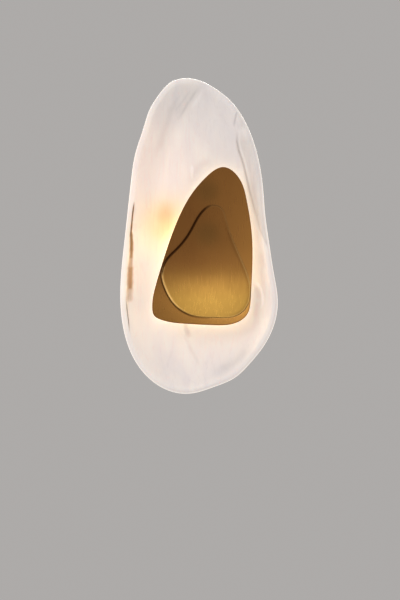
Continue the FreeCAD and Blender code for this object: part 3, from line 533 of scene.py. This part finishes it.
back_shares = np.linspace(1, 0, back_ring_count)
front_shares = np.linspace(0, 1, front_ring_count) ** front_crowding
lip_angle = math.radians(128)
lip_inset = rim_r * (1 - math.cos(lip_angle))
lip_drop = rim_r * (1 - math.sin(lip_angle))
rim_angles = np.linspace(0, lip_angle, rim_ring_count + 2)[1:-1]
dish_rings = floor_rings(dish_flat_out, back_floor_count)[::-1]
dish_rings += [side_ring(0, rim_r, dish_flat_out, share) for share in back_shares]
for angle in rim_angles:
    inset = rim_r * (1 - math.cos(angle))
    drop = rim_r * (1 - math.sin(angle))
    dish_rings.append(dish_ring(inset, 0, rim_level - drop))
first_front = len(dish_rings)
for share in front_shares:
    dish_rings.append(side_ring(lip_inset, lip_drop, dish_flat_out + dish_wall, share))
dish_rings += floor_rings(dish_flat_out + dish_wall, front_floor_count)
dish = ring_mesh("opal_dish", dish_rings, closed=True)

# Where each point lies: its ring, how far the rim has turned there, how far in on the front it is,
# and whether it is on the rim, on the front or past the rim's first quarter.
ring_of = np.repeat(np.arange(len(dish_rings)), dish_around)
place = np.concatenate(dish_rings)
dish_plan = place[:, [0, 2]]
dish_x, dish_z = dish_plan.T
rim_start = first_front - len(rim_angles)
on_rim = (ring_of >= rim_start) & (ring_of < first_front)
rim_turn = np.zeros(len(ring_of))
rim_turn[on_rim] = rim_angles[ring_of[on_rim] - rim_start]
rim_turn[ring_of >= first_front] = lip_angle
front_depth = np.clip((ring_of - first_front) / front_ring_count, 0, 1)
on_front = np.where(ring_of >= rim_start + rim_ring_count // 2, 1.0, 0.0)
on_lip = ring_of >= rim_start + rim_ring_count // 4


def rise(values, start, end):
    """Goes from 0 to 1 as the values go from start to end, upward or downward, and stays there."""
    return np.clip((values - start) / (end - start), 0, 1)


def bell(distance, width):
    """Soft fall from 1 on a line to almost nothing two widths away."""
    return np.exp(-(distance / width) ** 2)


def faded(share, run):
    """Goes from 0 at both ends of a line to 1, over a run at each end."""
    return rise(np.minimum(share, 1 - share), 0, run)


def streaks(lines):
    """Strength of soft streaks on each point of the dish. They fade towards their ends."""
    total = np.zeros(len(dish_plan))
    for line, width, strength in lines:
        distance, share = line_distance(dish_plan, line)
        total = np.maximum(total, strength * bell(distance, width) * faded(share + 0.02, 0.25))
    return total


def along_seam(steps):
    """Value at each point's height, from a list of heights and values that goes downward."""
    heights, values = np.array(steps)[::-1].T
    return np.interp(dish_z, heights, values)


# The glass steps up over the fold line, most at the line itself and less and less downward. The
# seam is a shallow groove.
fold_distance, fold_share = line_distance(dish_plan, fold_line)
fold_x, fold_z = np.array(fold_line)[::-1].T
outside_fold = np.where(dish_x > np.interp(dish_z, fold_z, fold_x), 1.0, 0.0)
fold_fade = faded(fold_share, 0.10)
fold_sharp = np.interp(dish_z, [0.030, 0.088], [0.12, 1.0]) * fold_fade
fold_step = np.clip(0.5 + (2 * outside_fold - 1) * fold_distance / fold_step_width, 0, 1)
fold_height = fold_rise * fold_step * np.exp(-fold_distance / fold_rise_reach)
fold_height += fold_ridge * bell(fold_distance, fold_ridge_width)
seam_distance, seam_share = line_distance(dish_plan, seam_line)
seam_fade = faded(seam_share, 0.05)
seam_depth = seam_dip * bell(seam_distance, seam_dip_width) * seam_fade

# Two slow waves about a millimetre high cross on the face, and die out at the rim and the middle.
waves = 0.0005 * np.sin(dish_x / 0.017 + 2.2 * np.sin(dish_z / 0.041))
waves += 0.0004 * np.sin(dish_z / 0.024 + 1.7 * np.sin(dish_x / 0.030) + 1.0)
settled = rise(front_depth, 0.03, 0.23) * rise(front_depth, 0.97, 0.72)
raised = waves * settled + fold_height * fold_sharp * rise(front_depth, 0, 0.06) - seam_depth
place[:, 1] -= np.where(ring_of >= first_front, raised, 0)
dish.data.vertices.foreach_set("co", place.ravel())

# Marks in the glass, stored on the points: how strongly each one shows there. The rim marks,
# the fold's light and dark lines and the halo are painted light and shade.
ragged = 1 + 0.10 * np.sin(dish_z / 0.0021) * np.sin(dish_z / 0.0057)
seam_width = along_seam(seam_widths) * ragged
seam = rise(seam_distance, 1.5 * seam_width, 0.5 * seam_width) * seam_fade * along_seam(seam_tones)
tail_distance, tail_share = line_distance(dish_plan, seam_tail)
tail = 0.85 * rise(tail_distance, 1.5 * tail_width, 0.5 * tail_width) * faded(tail_share, 0.3)
left_of_seam = along_seam([(z, x) for x, z in seam_line]) - dish_x
beside_seam = rise(left_of_seam, 0, 0.002) * bell(left_of_seam, 0.0055)
left_lip = rise(np.abs(dish_z + 0.020), 0.062, 0.032) * (dish_x < -0.07)
# Painted highlights: a line on the rim's crest, a band on the left lip, a faint band at the lip.
rim_light = 0.85 * bell(rim_turn - 0.32, 0.42) * on_rim
lip_light = 0.35 * left_lip * rise(rim_turn, 0.6, 1.1) * (ring_of < first_front + 2)
lip_glow_band = 0.06 * rise(rim_turn, 0.7, 1.2) * rise(front_depth, 0.10, 0)
# Painted highlight just outside the fold's ridge; the dark line along its step is painted shade.
fold_gleam = outside_fold * bell(fold_distance - fold_highlight_gap, fold_highlight_width)
marks = {
    "rim": np.maximum.reduce([rim_light, lip_light, lip_glow_band]),
    "face": on_front,
    "fold": on_front * fold_fade * fold_step * np.exp(-fold_distance / fold_shade_reach),
    "fold_shade_line": on_front * fold_sharp * bell(fold_distance, fold_shade_line_width),
    "fold_highlight": on_front * fold_sharp * fold_gleam,
    "seam": on_front * seam,
    "seam_dark": on_front * np.maximum(seam * along_seam(seam_darks), tail),
    "cream": on_lip * left_lip * beside_seam,
    "wisp": on_front * streaks(wisp_lines),
    "gleam": on_front * streaks(gleam_lines),
}

# The lamps' light comes out round the cover, so a halo follows the cover's outline on the glass.
cover_low, cover_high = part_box("rear_leaf")
cover_outline = [
    (0.217, 0.498), (0.365, 0.428), (0.440, 0.290), (0.490, 0.085), (0.497, -0.105), (0.482, -0.317),
    (0.438, -0.438), (0.330, -0.486), (0.124, -0.500), (-0.166, -0.491), (-0.415, -0.465),
    (-0.480, -0.440), (-0.500, -0.390), (-0.465, -0.248), (-0.377, -0.063), (-0.257, 0.148),
    (-0.120, 0.317), (0.025, 0.428),
]
cover_edge = fitted_outline(cover_outline, cover_low, cover_high, 60)[0]
halo_distance = line_distance(dish_plan, list(cover_edge) + [cover_edge[0]])[0]
halo = 0.34 * np.exp(-halo_distance / 0.005) + 0.06 * np.exp(-halo_distance / 0.018)
marks["halo"] = on_front * halo
for name, values in marks.items():
    layer = dish.data.attributes.new(name, "FLOAT", "POINT")
    layer.data.foreach_set("value", values.astype(np.float32))


def bored(piece, bores, low_out, high_out):
    """Cuts round holes along Y through a piece, each given as x, z and radius."""
    drill_sides = 48
    drills = []
    for x, z, radius in bores:
        drill_mesh = bpy.data.meshes.new("drill")
        shape = bmesh.new()
        bmesh.ops.create_cone(shape, cap_ends=True, segments=drill_sides, radius1=radius,
                              radius2=radius, depth=high_out - low_out)
        bmesh.ops.rotate(shape, verts=shape.verts, matrix=Matrix.Rotation(math.pi / 2, 3, "X"))
        bmesh.ops.translate(shape, verts=shape.verts, vec=(x, -(low_out + high_out) / 2, z))
        shape.to_mesh(drill_mesh)
        shape.free()
        drill = bpy.data.objects.new("drill", drill_mesh)
        scene.collection.objects.link(drill)
        cut = piece.modifiers.new("bore", "BOOLEAN")
        cut.operation = "DIFFERENCE"
        cut.solver = "EXACT"
        cut.object = drill
        drills.append(drill)
    worked_out = piece.evaluated_get(bpy.context.evaluated_depsgraph_get())
    cut_mesh = bpy.data.meshes.new_from_object(worked_out)
    piece.modifiers.clear()
    piece.data = cut_mesh
    for drill in drills:
        bpy.data.objects.remove(drill)


tie_holes = [(-tie_x, 0, tie_hole_r), (tie_x, 0, tie_hole_r)]
bore_spare = 0.002
bored(dish, tie_holes, dish_flat_out - bore_spare, dish_flat_out + dish_wall + bore_spare)


def mark(finish, name):
    """Strength of one of the marks stored on a piece's points."""
    return put(finish, "Attribute", {}, attribute_name=name).outputs["Fac"]


def product(finish, first, second):
    """Product of two numbers."""
    return put(finish, "Math", {0: first, 1: second}, operation="MULTIPLY").outputs["Value"]


def near(finish, x, z, reach, strength):
    """Share that falls from a strength at one place on the front to nothing at its reach."""
    offset = put(finish, "Mapping", {"Vector": position(finish), "Location": (-x, 0, -z),
                                     "Scale": (1, 0, 1)})
    distance = put(finish, "VectorMath", {0: offset.outputs["Vector"]}, operation="LENGTH")
    ramp = put(finish, "MapRange", {"Value": distance.outputs["Value"], "From Min": 0.0, "From Max": reach,
                                    "To Min": strength, "To Max": 0.0}, interpolation_type="SMOOTHERSTEP")
    return ramp.outputs["Result"]


def scaled(finish, colour, share):
    """Colour times a share."""
    return put(finish, "VectorMath", {0: colour, "Scale": share}, operation="SCALE").outputs["Vector"]


def sum_of(finish, *colours):
    """Sum of several colours."""
    total = colours[0]
    for colour in colours[1:]:
        total = put(finish, "VectorMath", {0: total, 1: colour}, operation="ADD").outputs["Vector"]
    return total


opal, opal_shader = new_finish("opal_glass", (0.62, 0.57, 0.54), 0.30)
swirls = clouds(opal, 0.050, (0.55, 1.0, 1.7), detail=4.0, swirl=1.2)
veils = clouds(opal, 0.016, (0.5, 1.0, 3.5), detail=3.0, swirl=2.0)
opal_body = blended(opal, between(opal, swirls, 0, 1), (0.590, 0.540, 0.530), (0.635, 0.585, 0.545))
opal_body = blended(opal, between(opal, veils, 0, 0.3, 0.50, 0.72), opal_body, (0.66, 0.61, 0.58))
# Painted warm light: an orange patch by the lamps, in several soft spots: place, reach, share of the tint,
# and the tint.
warm_light_patches = [
    (-0.044, 0.028, 0.060, 0.8, (0.66, 0.50, 0.18)),
    (-0.046, 0.000, 0.036, 0.4, (0.66, 0.56, 0.34)),
    (-0.044, 0.044, 0.017, 0.6, (0.62, 0.34, 0.09)),
    (-0.045, 0.036, 0.016, 0.9, (0.62, 0.33, 0.07)),
    (-0.044, 0.027, 0.015, 0.6, (0.64, 0.43, 0.11)),
    (-0.051, 0.017, 0.015, 0.4, (0.66, 0.49, 0.15)),
]
for x, z, reach, share, tint in warm_light_patches:
    warm_light_share = product(opal, near(opal, x, z, reach, share), mark(opal, "face"))
    opal_body = blended(opal, warm_light_share, opal_body, tint)

# Each mark at full strength: share of its tint, the tint, and the share of the light it holds back.
glass_marks = {
    "wisp": (0.60, (0.46, 0.42, 0.415), 0.29),
    "gleam": (0.70, (0.80, 0.74, 0.70), -0.30),
    "fold": (0.38, (0.48, 0.44, 0.41), 0.30),
    "fold_highlight": (0.60, (0.76, 0.70, 0.66), -0.22),
    "fold_shade_line": (0.60, (0.36, 0.31, 0.28), 0.42),
    "cream": (0.90, (0.66, 0.54, 0.27), 0.12),
    "seam": (0.98, (0.56, 0.265, 0.080), 0.88),
    "seam_dark": (0.80, (0.16, 0.070, 0.032), 0.90),
}
strengths = {name: mark(opal, name) for name in glass_marks}
strengths["wisp"] = product(opal, strengths["wisp"], between(opal, veils, 0.65, 1.0, 0.38, 0.60))
kept_light = 1.0
for name, (share, tint, loss) in glass_marks.items():
    opal_body = blended(opal, between(opal, strengths[name], 0, share, 0, 1), opal_body, tint)
    kept_light = product(opal, kept_light, between(opal, strengths[name], 1, 1 - loss, 0, 1))

# Painted light of the lamps behind: even over the dish, warmer near them and strongest round the cover,
# with painted highlights along the rim.
even_glow = blended(opal, between(opal, swirls, 0, 1), (0.300, 0.280, 0.285), (0.355, 0.325, 0.315))
even_glow = blended(opal, near(opal, -0.044, 0.030, 0.042, 0.62), even_glow, (0.34, 0.23, 0.13))
lamp_glow = scaled(opal, (1.0, 0.66, 0.42), near(opal, -0.025, -0.020, 0.230, 0.14))
warm_side = scaled(opal, (1.0, 0.52, 0.26), near(opal, -0.062, 0.092, 0.115, 0.15))
cover_halo = scaled(opal, (1.0, 0.80, 0.42), mark(opal, "halo"))
rim_glow = scaled(opal, (0.40, 0.37, 0.31), mark(opal, "rim"))
opal_light = scaled(opal, sum_of(opal, even_glow, lamp_glow, warm_side, cover_halo, rim_glow), kept_light)
feed(opal, opal_shader, Base_Color=opal_body, Emission_Color=opal_light,
     Roughness=between(opal, veils, 0.24, 0.36))
opal_shader.inputs["Emission Strength"].default_value = 1.0
opal_shader.inputs["Subsurface Weight"].default_value = 0.5
opal_shader.inputs["Subsurface Radius"].default_value = (1.0, 0.75, 0.55)
opal_shader.inputs["Subsurface Scale"].default_value = 0.006
opal_shader.inputs["Specular IOR Level"].default_value = 0.35
relief(opal, opal_shader, clouds(opal, 0.010, (1, 1, 1.6), detail=2.0), 0.0004)
dish.data.materials.append(opal)
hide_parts("glass_shell")
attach(dish, "fixture")


# Washers and ties at the glass
# Two clear silicone discs keep the metal off the glass, and nylon sleeves line its holes. Two
# screws through pan, glass and lamp plate stop the uneven dish from turning.
silicone_colours = ((0.70, 0.70, 0.67), (0.60, 0.59, 0.55))
silicone, silicone_shader = mottled("clear_silicone", silicone_colours, (0.28, 0.45), 0.008)
silicone_shader.inputs["Subsurface Weight"].default_value = 0.5
silicone_shader.inputs["Subsurface Scale"].default_value = 0.003
relief(silicone, silicone_shader, clouds(silicone, 0.002), 0.00004)
dress(silicone, "clear_silicone", "glass_washer_rear", "glass_washer_front")
dress(nylon, "nylon", "glass_bush", "tie_sleeves")
tie_pitch = 0.0007
tie_thread = plated_steel("tie_thread", (0.62, 0.64, 0.65), (0.48, 0.50, 0.52), tie_pitch)
dress(tie_thread, "zinc_steel", "tie_screws")
dress(zinc, "zinc_steel", "tie_nuts")


# Lamp plate
# Steel sheet with three rounded corners, powder coated white so that it sends the lamps' light
# back to the glass. The coat has a fine orange-peel skin.
coat_colours = ((0.82, 0.81, 0.78), (0.75, 0.73, 0.69))
coat, coat_shader = mottled("white_powder_coat", coat_colours, (0.36, 0.50), 0.030)
relief(coat, coat_shader, clouds(coat, 0.0011, detail=1.0), 0.00006)
dress(coat, "white_steel", "lamp_plate")


# Lampholders
# Pressed and fired steatite blocks, off-white and matt with a few iron specks. A bent strap
# carries each one, held by a screw into the plate and one up into the ceramic.
steatite, steatite_shader = new_finish("steatite", (0.72, 0.69, 0.62), 0.62)
fired = clouds(steatite, 0.004, detail=5.0)
specks = put(steatite, "TexVoronoi", {"Vector": position(steatite), "Scale": 700.0})
speck = between(steatite, specks.outputs["Distance"], 1, 0, 0.05, 0.12)
off_white = blended(steatite, between(steatite, fired, 0, 1), (0.74, 0.71, 0.64), (0.66, 0.62, 0.55))
feed(steatite, steatite_shader, Base_Color=blended(steatite, speck, off_white, (0.35, 0.29, 0.22)),
     Roughness=between(steatite, fired, 0.55, 0.72))
relief(steatite, steatite_shader, fired, 0.00006)
dress(steatite, "steatite", "upper_lampholder", "lower_lampholder")
dress(zinc, "zinc_steel", "holder_brackets", "holder_screws")


# Lamps
# Two plug-in lamps with a frosted envelope over a strip of light-emitting chips, a white base and
# two looped wire pins. They are lit, and shine warm white.
frosted, frosted_shader = new_finish("frosted_envelope", (0.85, 0.80, 0.70), 0.5)
frost = clouds(frosted, 0.0015, detail=3.0)
warm_white = blended(frosted, between(frosted, frost, 0, 1), (1.0, 0.72, 0.31), (1.0, 0.78, 0.37))
feed(frosted, frosted_shader, Emission_Color=warm_white, Roughness=between(frosted, frost, 0.42, 0.58))
frosted_shader.inputs["Emission Strength"].default_value = 6.5
relief(frosted, frosted_shader, frost, 0.00003)
dress(frosted, "lamp_glass", "lamp_envelopes")

chips, chips_shader = new_finish("phosphor_strip", (0.85, 0.62, 0.12), 0.5)
dots = put(chips, "TexVoronoi", {"Vector": position(chips), "Scale": 420.0})
off_dot = between(chips, dots.outputs["Distance"], 0, 1, 0.2, 0.5)
feed(chips, chips_shader, Base_Color=blended(chips, off_dot, (0.9, 0.68, 0.16), (0.8, 0.8, 0.76)))
chips_shader.inputs["Emission Color"].default_value = (1.0, 0.75, 0.40, 1)
chips_shader.inputs["Emission Strength"].default_value = 4.0
dress(chips, "lamp_plastic", "lamp_cores")

base_colours = ((0.80, 0.80, 0.78), (0.74, 0.73, 0.70))
base_plastic, base_shader = mottled("lamp_base_plastic", base_colours, (0.28, 0.44), 0.003)
relief(base_plastic, base_shader, clouds(base_plastic, 0.0008), 0.00002)
dress(base_plastic, "lamp_plastic", "lamp_bases")
dress(nickel, "nickel", "lamp_pins")


# Cover posts
# Three turned steel posts, staked in the lamp plate. A nickel-plated disc magnet is glued in the
# free end of each one and holds the cover.
turned, turned_shader = new_finish("turned_steel", (0.60, 0.60, 0.60), 0.3, 1.0)
turned_lines = clouds(turned, 0.0005, (30, 1, 30), detail=2.0)
turned_colour = blended(turned, between(turned, turned_lines, 0, 1), (0.64, 0.64, 0.64), (0.52, 0.52, 0.53))
feed(turned, turned_shader, Base_Color=turned_colour, Roughness=between(turned, turned_lines, 0.22, 0.40))
relief(turned, turned_shader, turned_lines, 0.00002)
dress(turned, "zinc_steel", "cover_posts")
dress(nickel, "nickel", "post_magnets")


# Cover cups
# Short steel cups, brazed to the back of the rear leaf. Each drops over a post, and its floor
# meets the magnet.
dress(turned, "zinc_steel", "cover_cups")


# Brass leaves
# Two leaves of brass sheet, cut by hand, dished on a stake and brushed upright, with softly filed
# edges and a clear lacquer. The smaller one stands off the larger on its left side.
leaf_back_r = 0.0003
leaf_cap_share = 0.02
back_ring_count = 26
back_edge_turns = (30, 60, 90)
front_edge_turns = (0, 15, 30, 45, 60, 75, 90)
bore_reach = 0.02
brass_dark = (0.308, 0.130, 0.037)
brass_light = (0.480, 0.216, 0.057)
brush_shadow = (0.300, 0.130, 0.036)
painted_shade_colour = (0.060, 0.020, 0.006)
painted_highlight_colour = (0.74, 0.42, 0.15)
# Two soft dark patches of painted shade, where the brass reflects darker: place, reach, share of the tint,
# and the tint.
dark_patches = [
    (0.006, 0.015, 0.026, 0.60, (0.230, 0.116, 0.034)),
    (0.006, 0.066, 0.024, 0.50, (0.225, 0.118, 0.034)),
]
small_leaf_middle = (0.004, -0.025)
# The radii are those across, upward and downward from the apex. The soft edge has its least width,
# its depth, and how much wider it is where the edge is rolled.
leaves = {
    "rear_leaf": {
        "outline": cover_outline,
        "middle": (0.005, -0.020),
        "around": 420,
        "rings": 130,
        "sheet": 0.0020,
        "apex": (-0.010, -0.030),
        "radii": (0.700, 2.500, 0.450),
        "soft_edge": (0.0008, 0.0008, 0.0),
        "low_lit_colour": (0.415, 0.188, 0.050),
        "bores": [(-0.028, -0.048, 0.0018), (0.036, -0.036, 0.0018), (0.010, 0.020, 0.0018)],
    },
    "front_leaf": {
        "outline": [
            (0.141, 0.364), (0.019, 0.318), (-0.075, 0.210), (-0.150, 0.101), (-0.282, -0.030),
            (-0.404, -0.135), (-0.450, -0.247), (-0.405, -0.389), (-0.300, -0.524), (-0.113, -0.616),
            (0.141, -0.636), (0.338, -0.630), (0.460, -0.580), (0.526, -0.479), (0.532, -0.344),
            (0.458, -0.165), (0.340, 0.052), (0.258, 0.247), (0.212, 0.336),
        ],
        "middle": (0.008, -0.030),
        "around": 360,
        "rings": 60,
        "sheet": 0.0016,
        "apex": (-0.050, -0.030),
        "radii": (0.600, 0.900, 0.430),
        "soft_edge": (0.0007, 0.0012, 0.0008),
        "low_lit_colour": (0.405, 0.212, 0.050),
        "bores": [],
    },
}


def dished_out(plan, apex, radii, front_out):
    """Out distance of a dished face whose highest point lies at the apex."""
    across, up, down = radii
    above = plan[:, 1] - apex[1]
    radius = np.where(above > 0, up, down)
    swing = across - radius + np.sqrt(radius ** 2 - above ** 2)
    return front_out - across + np.sqrt(swing ** 2 - (plan[:, 0] - apex[0]) ** 2)


def leaf_ring(facts, plan, face_out, drop):
    """Ring of a leaf's surface, a drop behind the face with that highest out distance."""
    out = dished_out(plan, facts["apex"], facts["radii"], face_out) - drop
    return np.stack([plan[:, 0], -out, plan[:, 1]], axis=1)


def leaf_bearing(plan):
    """Direction from the small leaf's middle, in degrees, from 0 at the right to 90 at the top."""
    middle_x, middle_z = small_leaf_middle
    return np.degrees(np.arctan2(plan[:, 1] - middle_z, plan[:, 0] - middle_x))


def mark_leaf(leaf, name):
    """Stores where shade is painted on a leaf beside the step between the two, and where highlights are
    painted.
    """
    small_low, small_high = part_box("front_leaf")
    step_edge = fitted_outline(leaves["front_leaf"]["outline"], small_low, small_high, 90)[0]
    plan = np.array([vertex.co[:] for vertex in leaf.data.vertices])[:, [0, 2]]
    distance = line_distance(plan, list(step_edge) + [step_edge[0]])[0]
    bearing = leaf_bearing(plan)
    upper_left = np.maximum(rise(bearing, 84, 92), rise(bearing, -168, -174))
    lower_left = rise(bearing, -108, -138)
    underside = rise(bearing, -80, -115)
    right_side = rise(np.abs(bearing), 70, 55)
    if name == "rear_leaf":
        # Painted shadow of the small leaf's raised side, and a painted highlight where the two nearly meet.
        dark = upper_left * rise(distance, 0.00286, 0.00156)
        dark = np.maximum(dark, 0.9 * underside * rise(distance, 0.00304, 0.00160))
        bright = 0.5 * (1 - upper_left) * (1 - underside) * rise(distance, 0.00144, 0.00024)
    else:
        # Painted shade on the small leaf's edge at the upper left, and painted highlights at the lower left
        # and right.
        dark = upper_left * rise(distance, 0.00112, 0.00042)
        dark = np.maximum(dark, 0.22 * right_side * bell(distance - 0.0018, 0.0018))
        glint = 0.25 + 0.55 * right_side * rise(plan[:, 1], 0.022, -0.022)
        bright = lower_left * rise(distance, 0.00162, 0.00072)
        bright = np.maximum(bright, glint * (1 - upper_left) * rise(distance, 0.00091, 0.00021))
    for label, values in (("painted_shade", dark), ("painted_highlight", bright)):
        layer = leaf.data.attributes.new(label, "FLOAT", "POINT")
        layer.data.foreach_set("value", values.astype(np.float32))


def make_leaf(name, facts):
    """Leaf mesh: back face, filed edge and front face, closed round a small cap in the middle."""
    low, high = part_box(name)
    edge, inward = fitted_outline(facts["outline"], low, high, facts["around"])
    middle = np.array(facts["middle"])
    front_out = -low.y
    back_out = front_out - facts["sheet"]
    rings = []
    back_edge = edge + inward * leaf_back_r
    for share in np.linspace(leaf_cap_share, 1, back_ring_count):
        rings.append(leaf_ring(facts, middle + (back_edge - middle) * share, back_out, 0))
    for angle in np.radians(back_edge_turns):
        plan = edge + inward * leaf_back_r * (1 - math.sin(angle))
        rings.append(leaf_ring(facts, plan, back_out, -leaf_back_r * (1 - math.cos(angle))))
    least_width, edge_depth, rolled_width = facts["soft_edge"]
    bearing = leaf_bearing(edge)
    rolled = rise(bearing, -112, -137) + rise(bearing, 168, 178)
    edge_width = (least_width + rolled_width * rolled)[:, None]
    for angle in np.radians(front_edge_turns):
        plan = edge + inward * edge_width * (1 - math.cos(angle))
        rings.append(leaf_ring(facts, plan, front_out, edge_depth * (1 - math.sin(angle))))
    front_edge = edge + inward * edge_width
    for share in np.linspace(1, leaf_cap_share, facts["rings"])[1:]:
        rings.append(leaf_ring(facts, middle + (front_edge - middle) * share, front_out, 0))
    leaf = ring_mesh("brushed_" + name, rings)
    shape = bmesh.new()
    shape.from_mesh(leaf.data)
    shape.verts.ensure_lookup_table()
    count = len(edge)
    shape.faces.new(shape.verts[:count][::-1])
    shape.faces.new(shape.verts[-count:])
    bmesh.ops.recalc_face_normals(shape, faces=shape.faces)
    for face in shape.faces:
        face.smooth = True
    shape.to_mesh(leaf.data)
    shape.free()
    if facts["bores"]:
        bored(leaf, facts["bores"], back_out - bore_reach, front_out + bore_reach)
    mark_leaf(leaf, name)
    grain = leaf.data.uv_layers.new(name="grain")
    for loop in leaf.data.loops:
        spot = leaf.data.vertices[loop.vertex_index].co
        grain.data[loop.index].uv = (spot.x, spot.z)
    return leaf


def brushed_brass(name, low_lit_colour):
    """Lacquered brass with upright brush lines, darker where the brush pressed less; lighter to the right
    and low down, dark patches, and shade and highlights by the step, are painted.
    """
    finish, shader = new_finish(name, brass_light, 0.30, 1.0)
    strokes = clouds(finish, 0.0007, (1, 1, 500), detail=1.0)
    fine_strokes = clouds(finish, 0.0003, (1, 1, 900), detail=1.0)
    patina = clouds(finish, 0.045, (1, 1, 1.3), detail=3.0)
    part = put(finish, "SeparateXYZ", {"Vector": position(finish)})
    # Painted light: lighter towards the right; the patina clouds give a random tone.
    side_light_and_patina = put(finish, "Math", {0: between(finish, part.outputs["X"], 0, 0.8, -0.020, 0.055),
                                1: between(finish, patina, -0.15, 0.15)}, operation="ADD")
    colour = blended(finish, side_light_and_patina.outputs["Value"], brass_dark, brass_light)
    # Painted light: the lower part is lighter, as if lit from below.
    colour = blended(finish, between(finish, part.outputs["Z"], 1, 0, -0.065, -0.020), colour, low_lit_colour)
    colour = blended(finish, between(finish, strokes, 0, 0.11, 0.2, 0.8), colour, brush_shadow)
    # Painted shade: two soft dark patches.
    for x, z, reach, share, tint in dark_patches:
        colour = blended(finish, near(finish, x, z, reach, share), colour, tint)
    # Painted highlights and painted shade beside the step between the leaves.
    colour = blended(finish, mark(finish, "painted_highlight"), colour, painted_highlight_colour)
    colour = blended(finish, mark(finish, "painted_shade"), colour, painted_shade_colour)
    feed(finish, shader, Base_Color=colour, Roughness=between(finish, strokes, 0.27, 0.33))
    shader.inputs["Anisotropic"].default_value = 0.6
    tangent = put(finish, "Tangent", {}, direction_type="UV_MAP", uv_map="grain")
    feed(finish, shader, Tangent=tangent.outputs["Tangent"])
    relief(finish, shader, fine_strokes, 0.000001)
    return finish


for name, facts in leaves.items():
    leaf = make_leaf(name, facts)
    leaf.data.materials.append(brushed_brass("brushed_brass_" + name, facts["low_lit_colour"]))
    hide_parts(name)
    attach(leaf, "cover")


# Leaf fasteners
# Brass studs brazed to the back of the small leaf pass through spacers and the large leaf. Nuts on
# soft washers draw the two together from behind.
dress(screw_brass, "leaf_brass", "leaf_studs", "leaf_spacers")
dress(nylon, "nylon", "leaf_washers")
dress(zinc, "zinc_steel", "leaf_nuts")
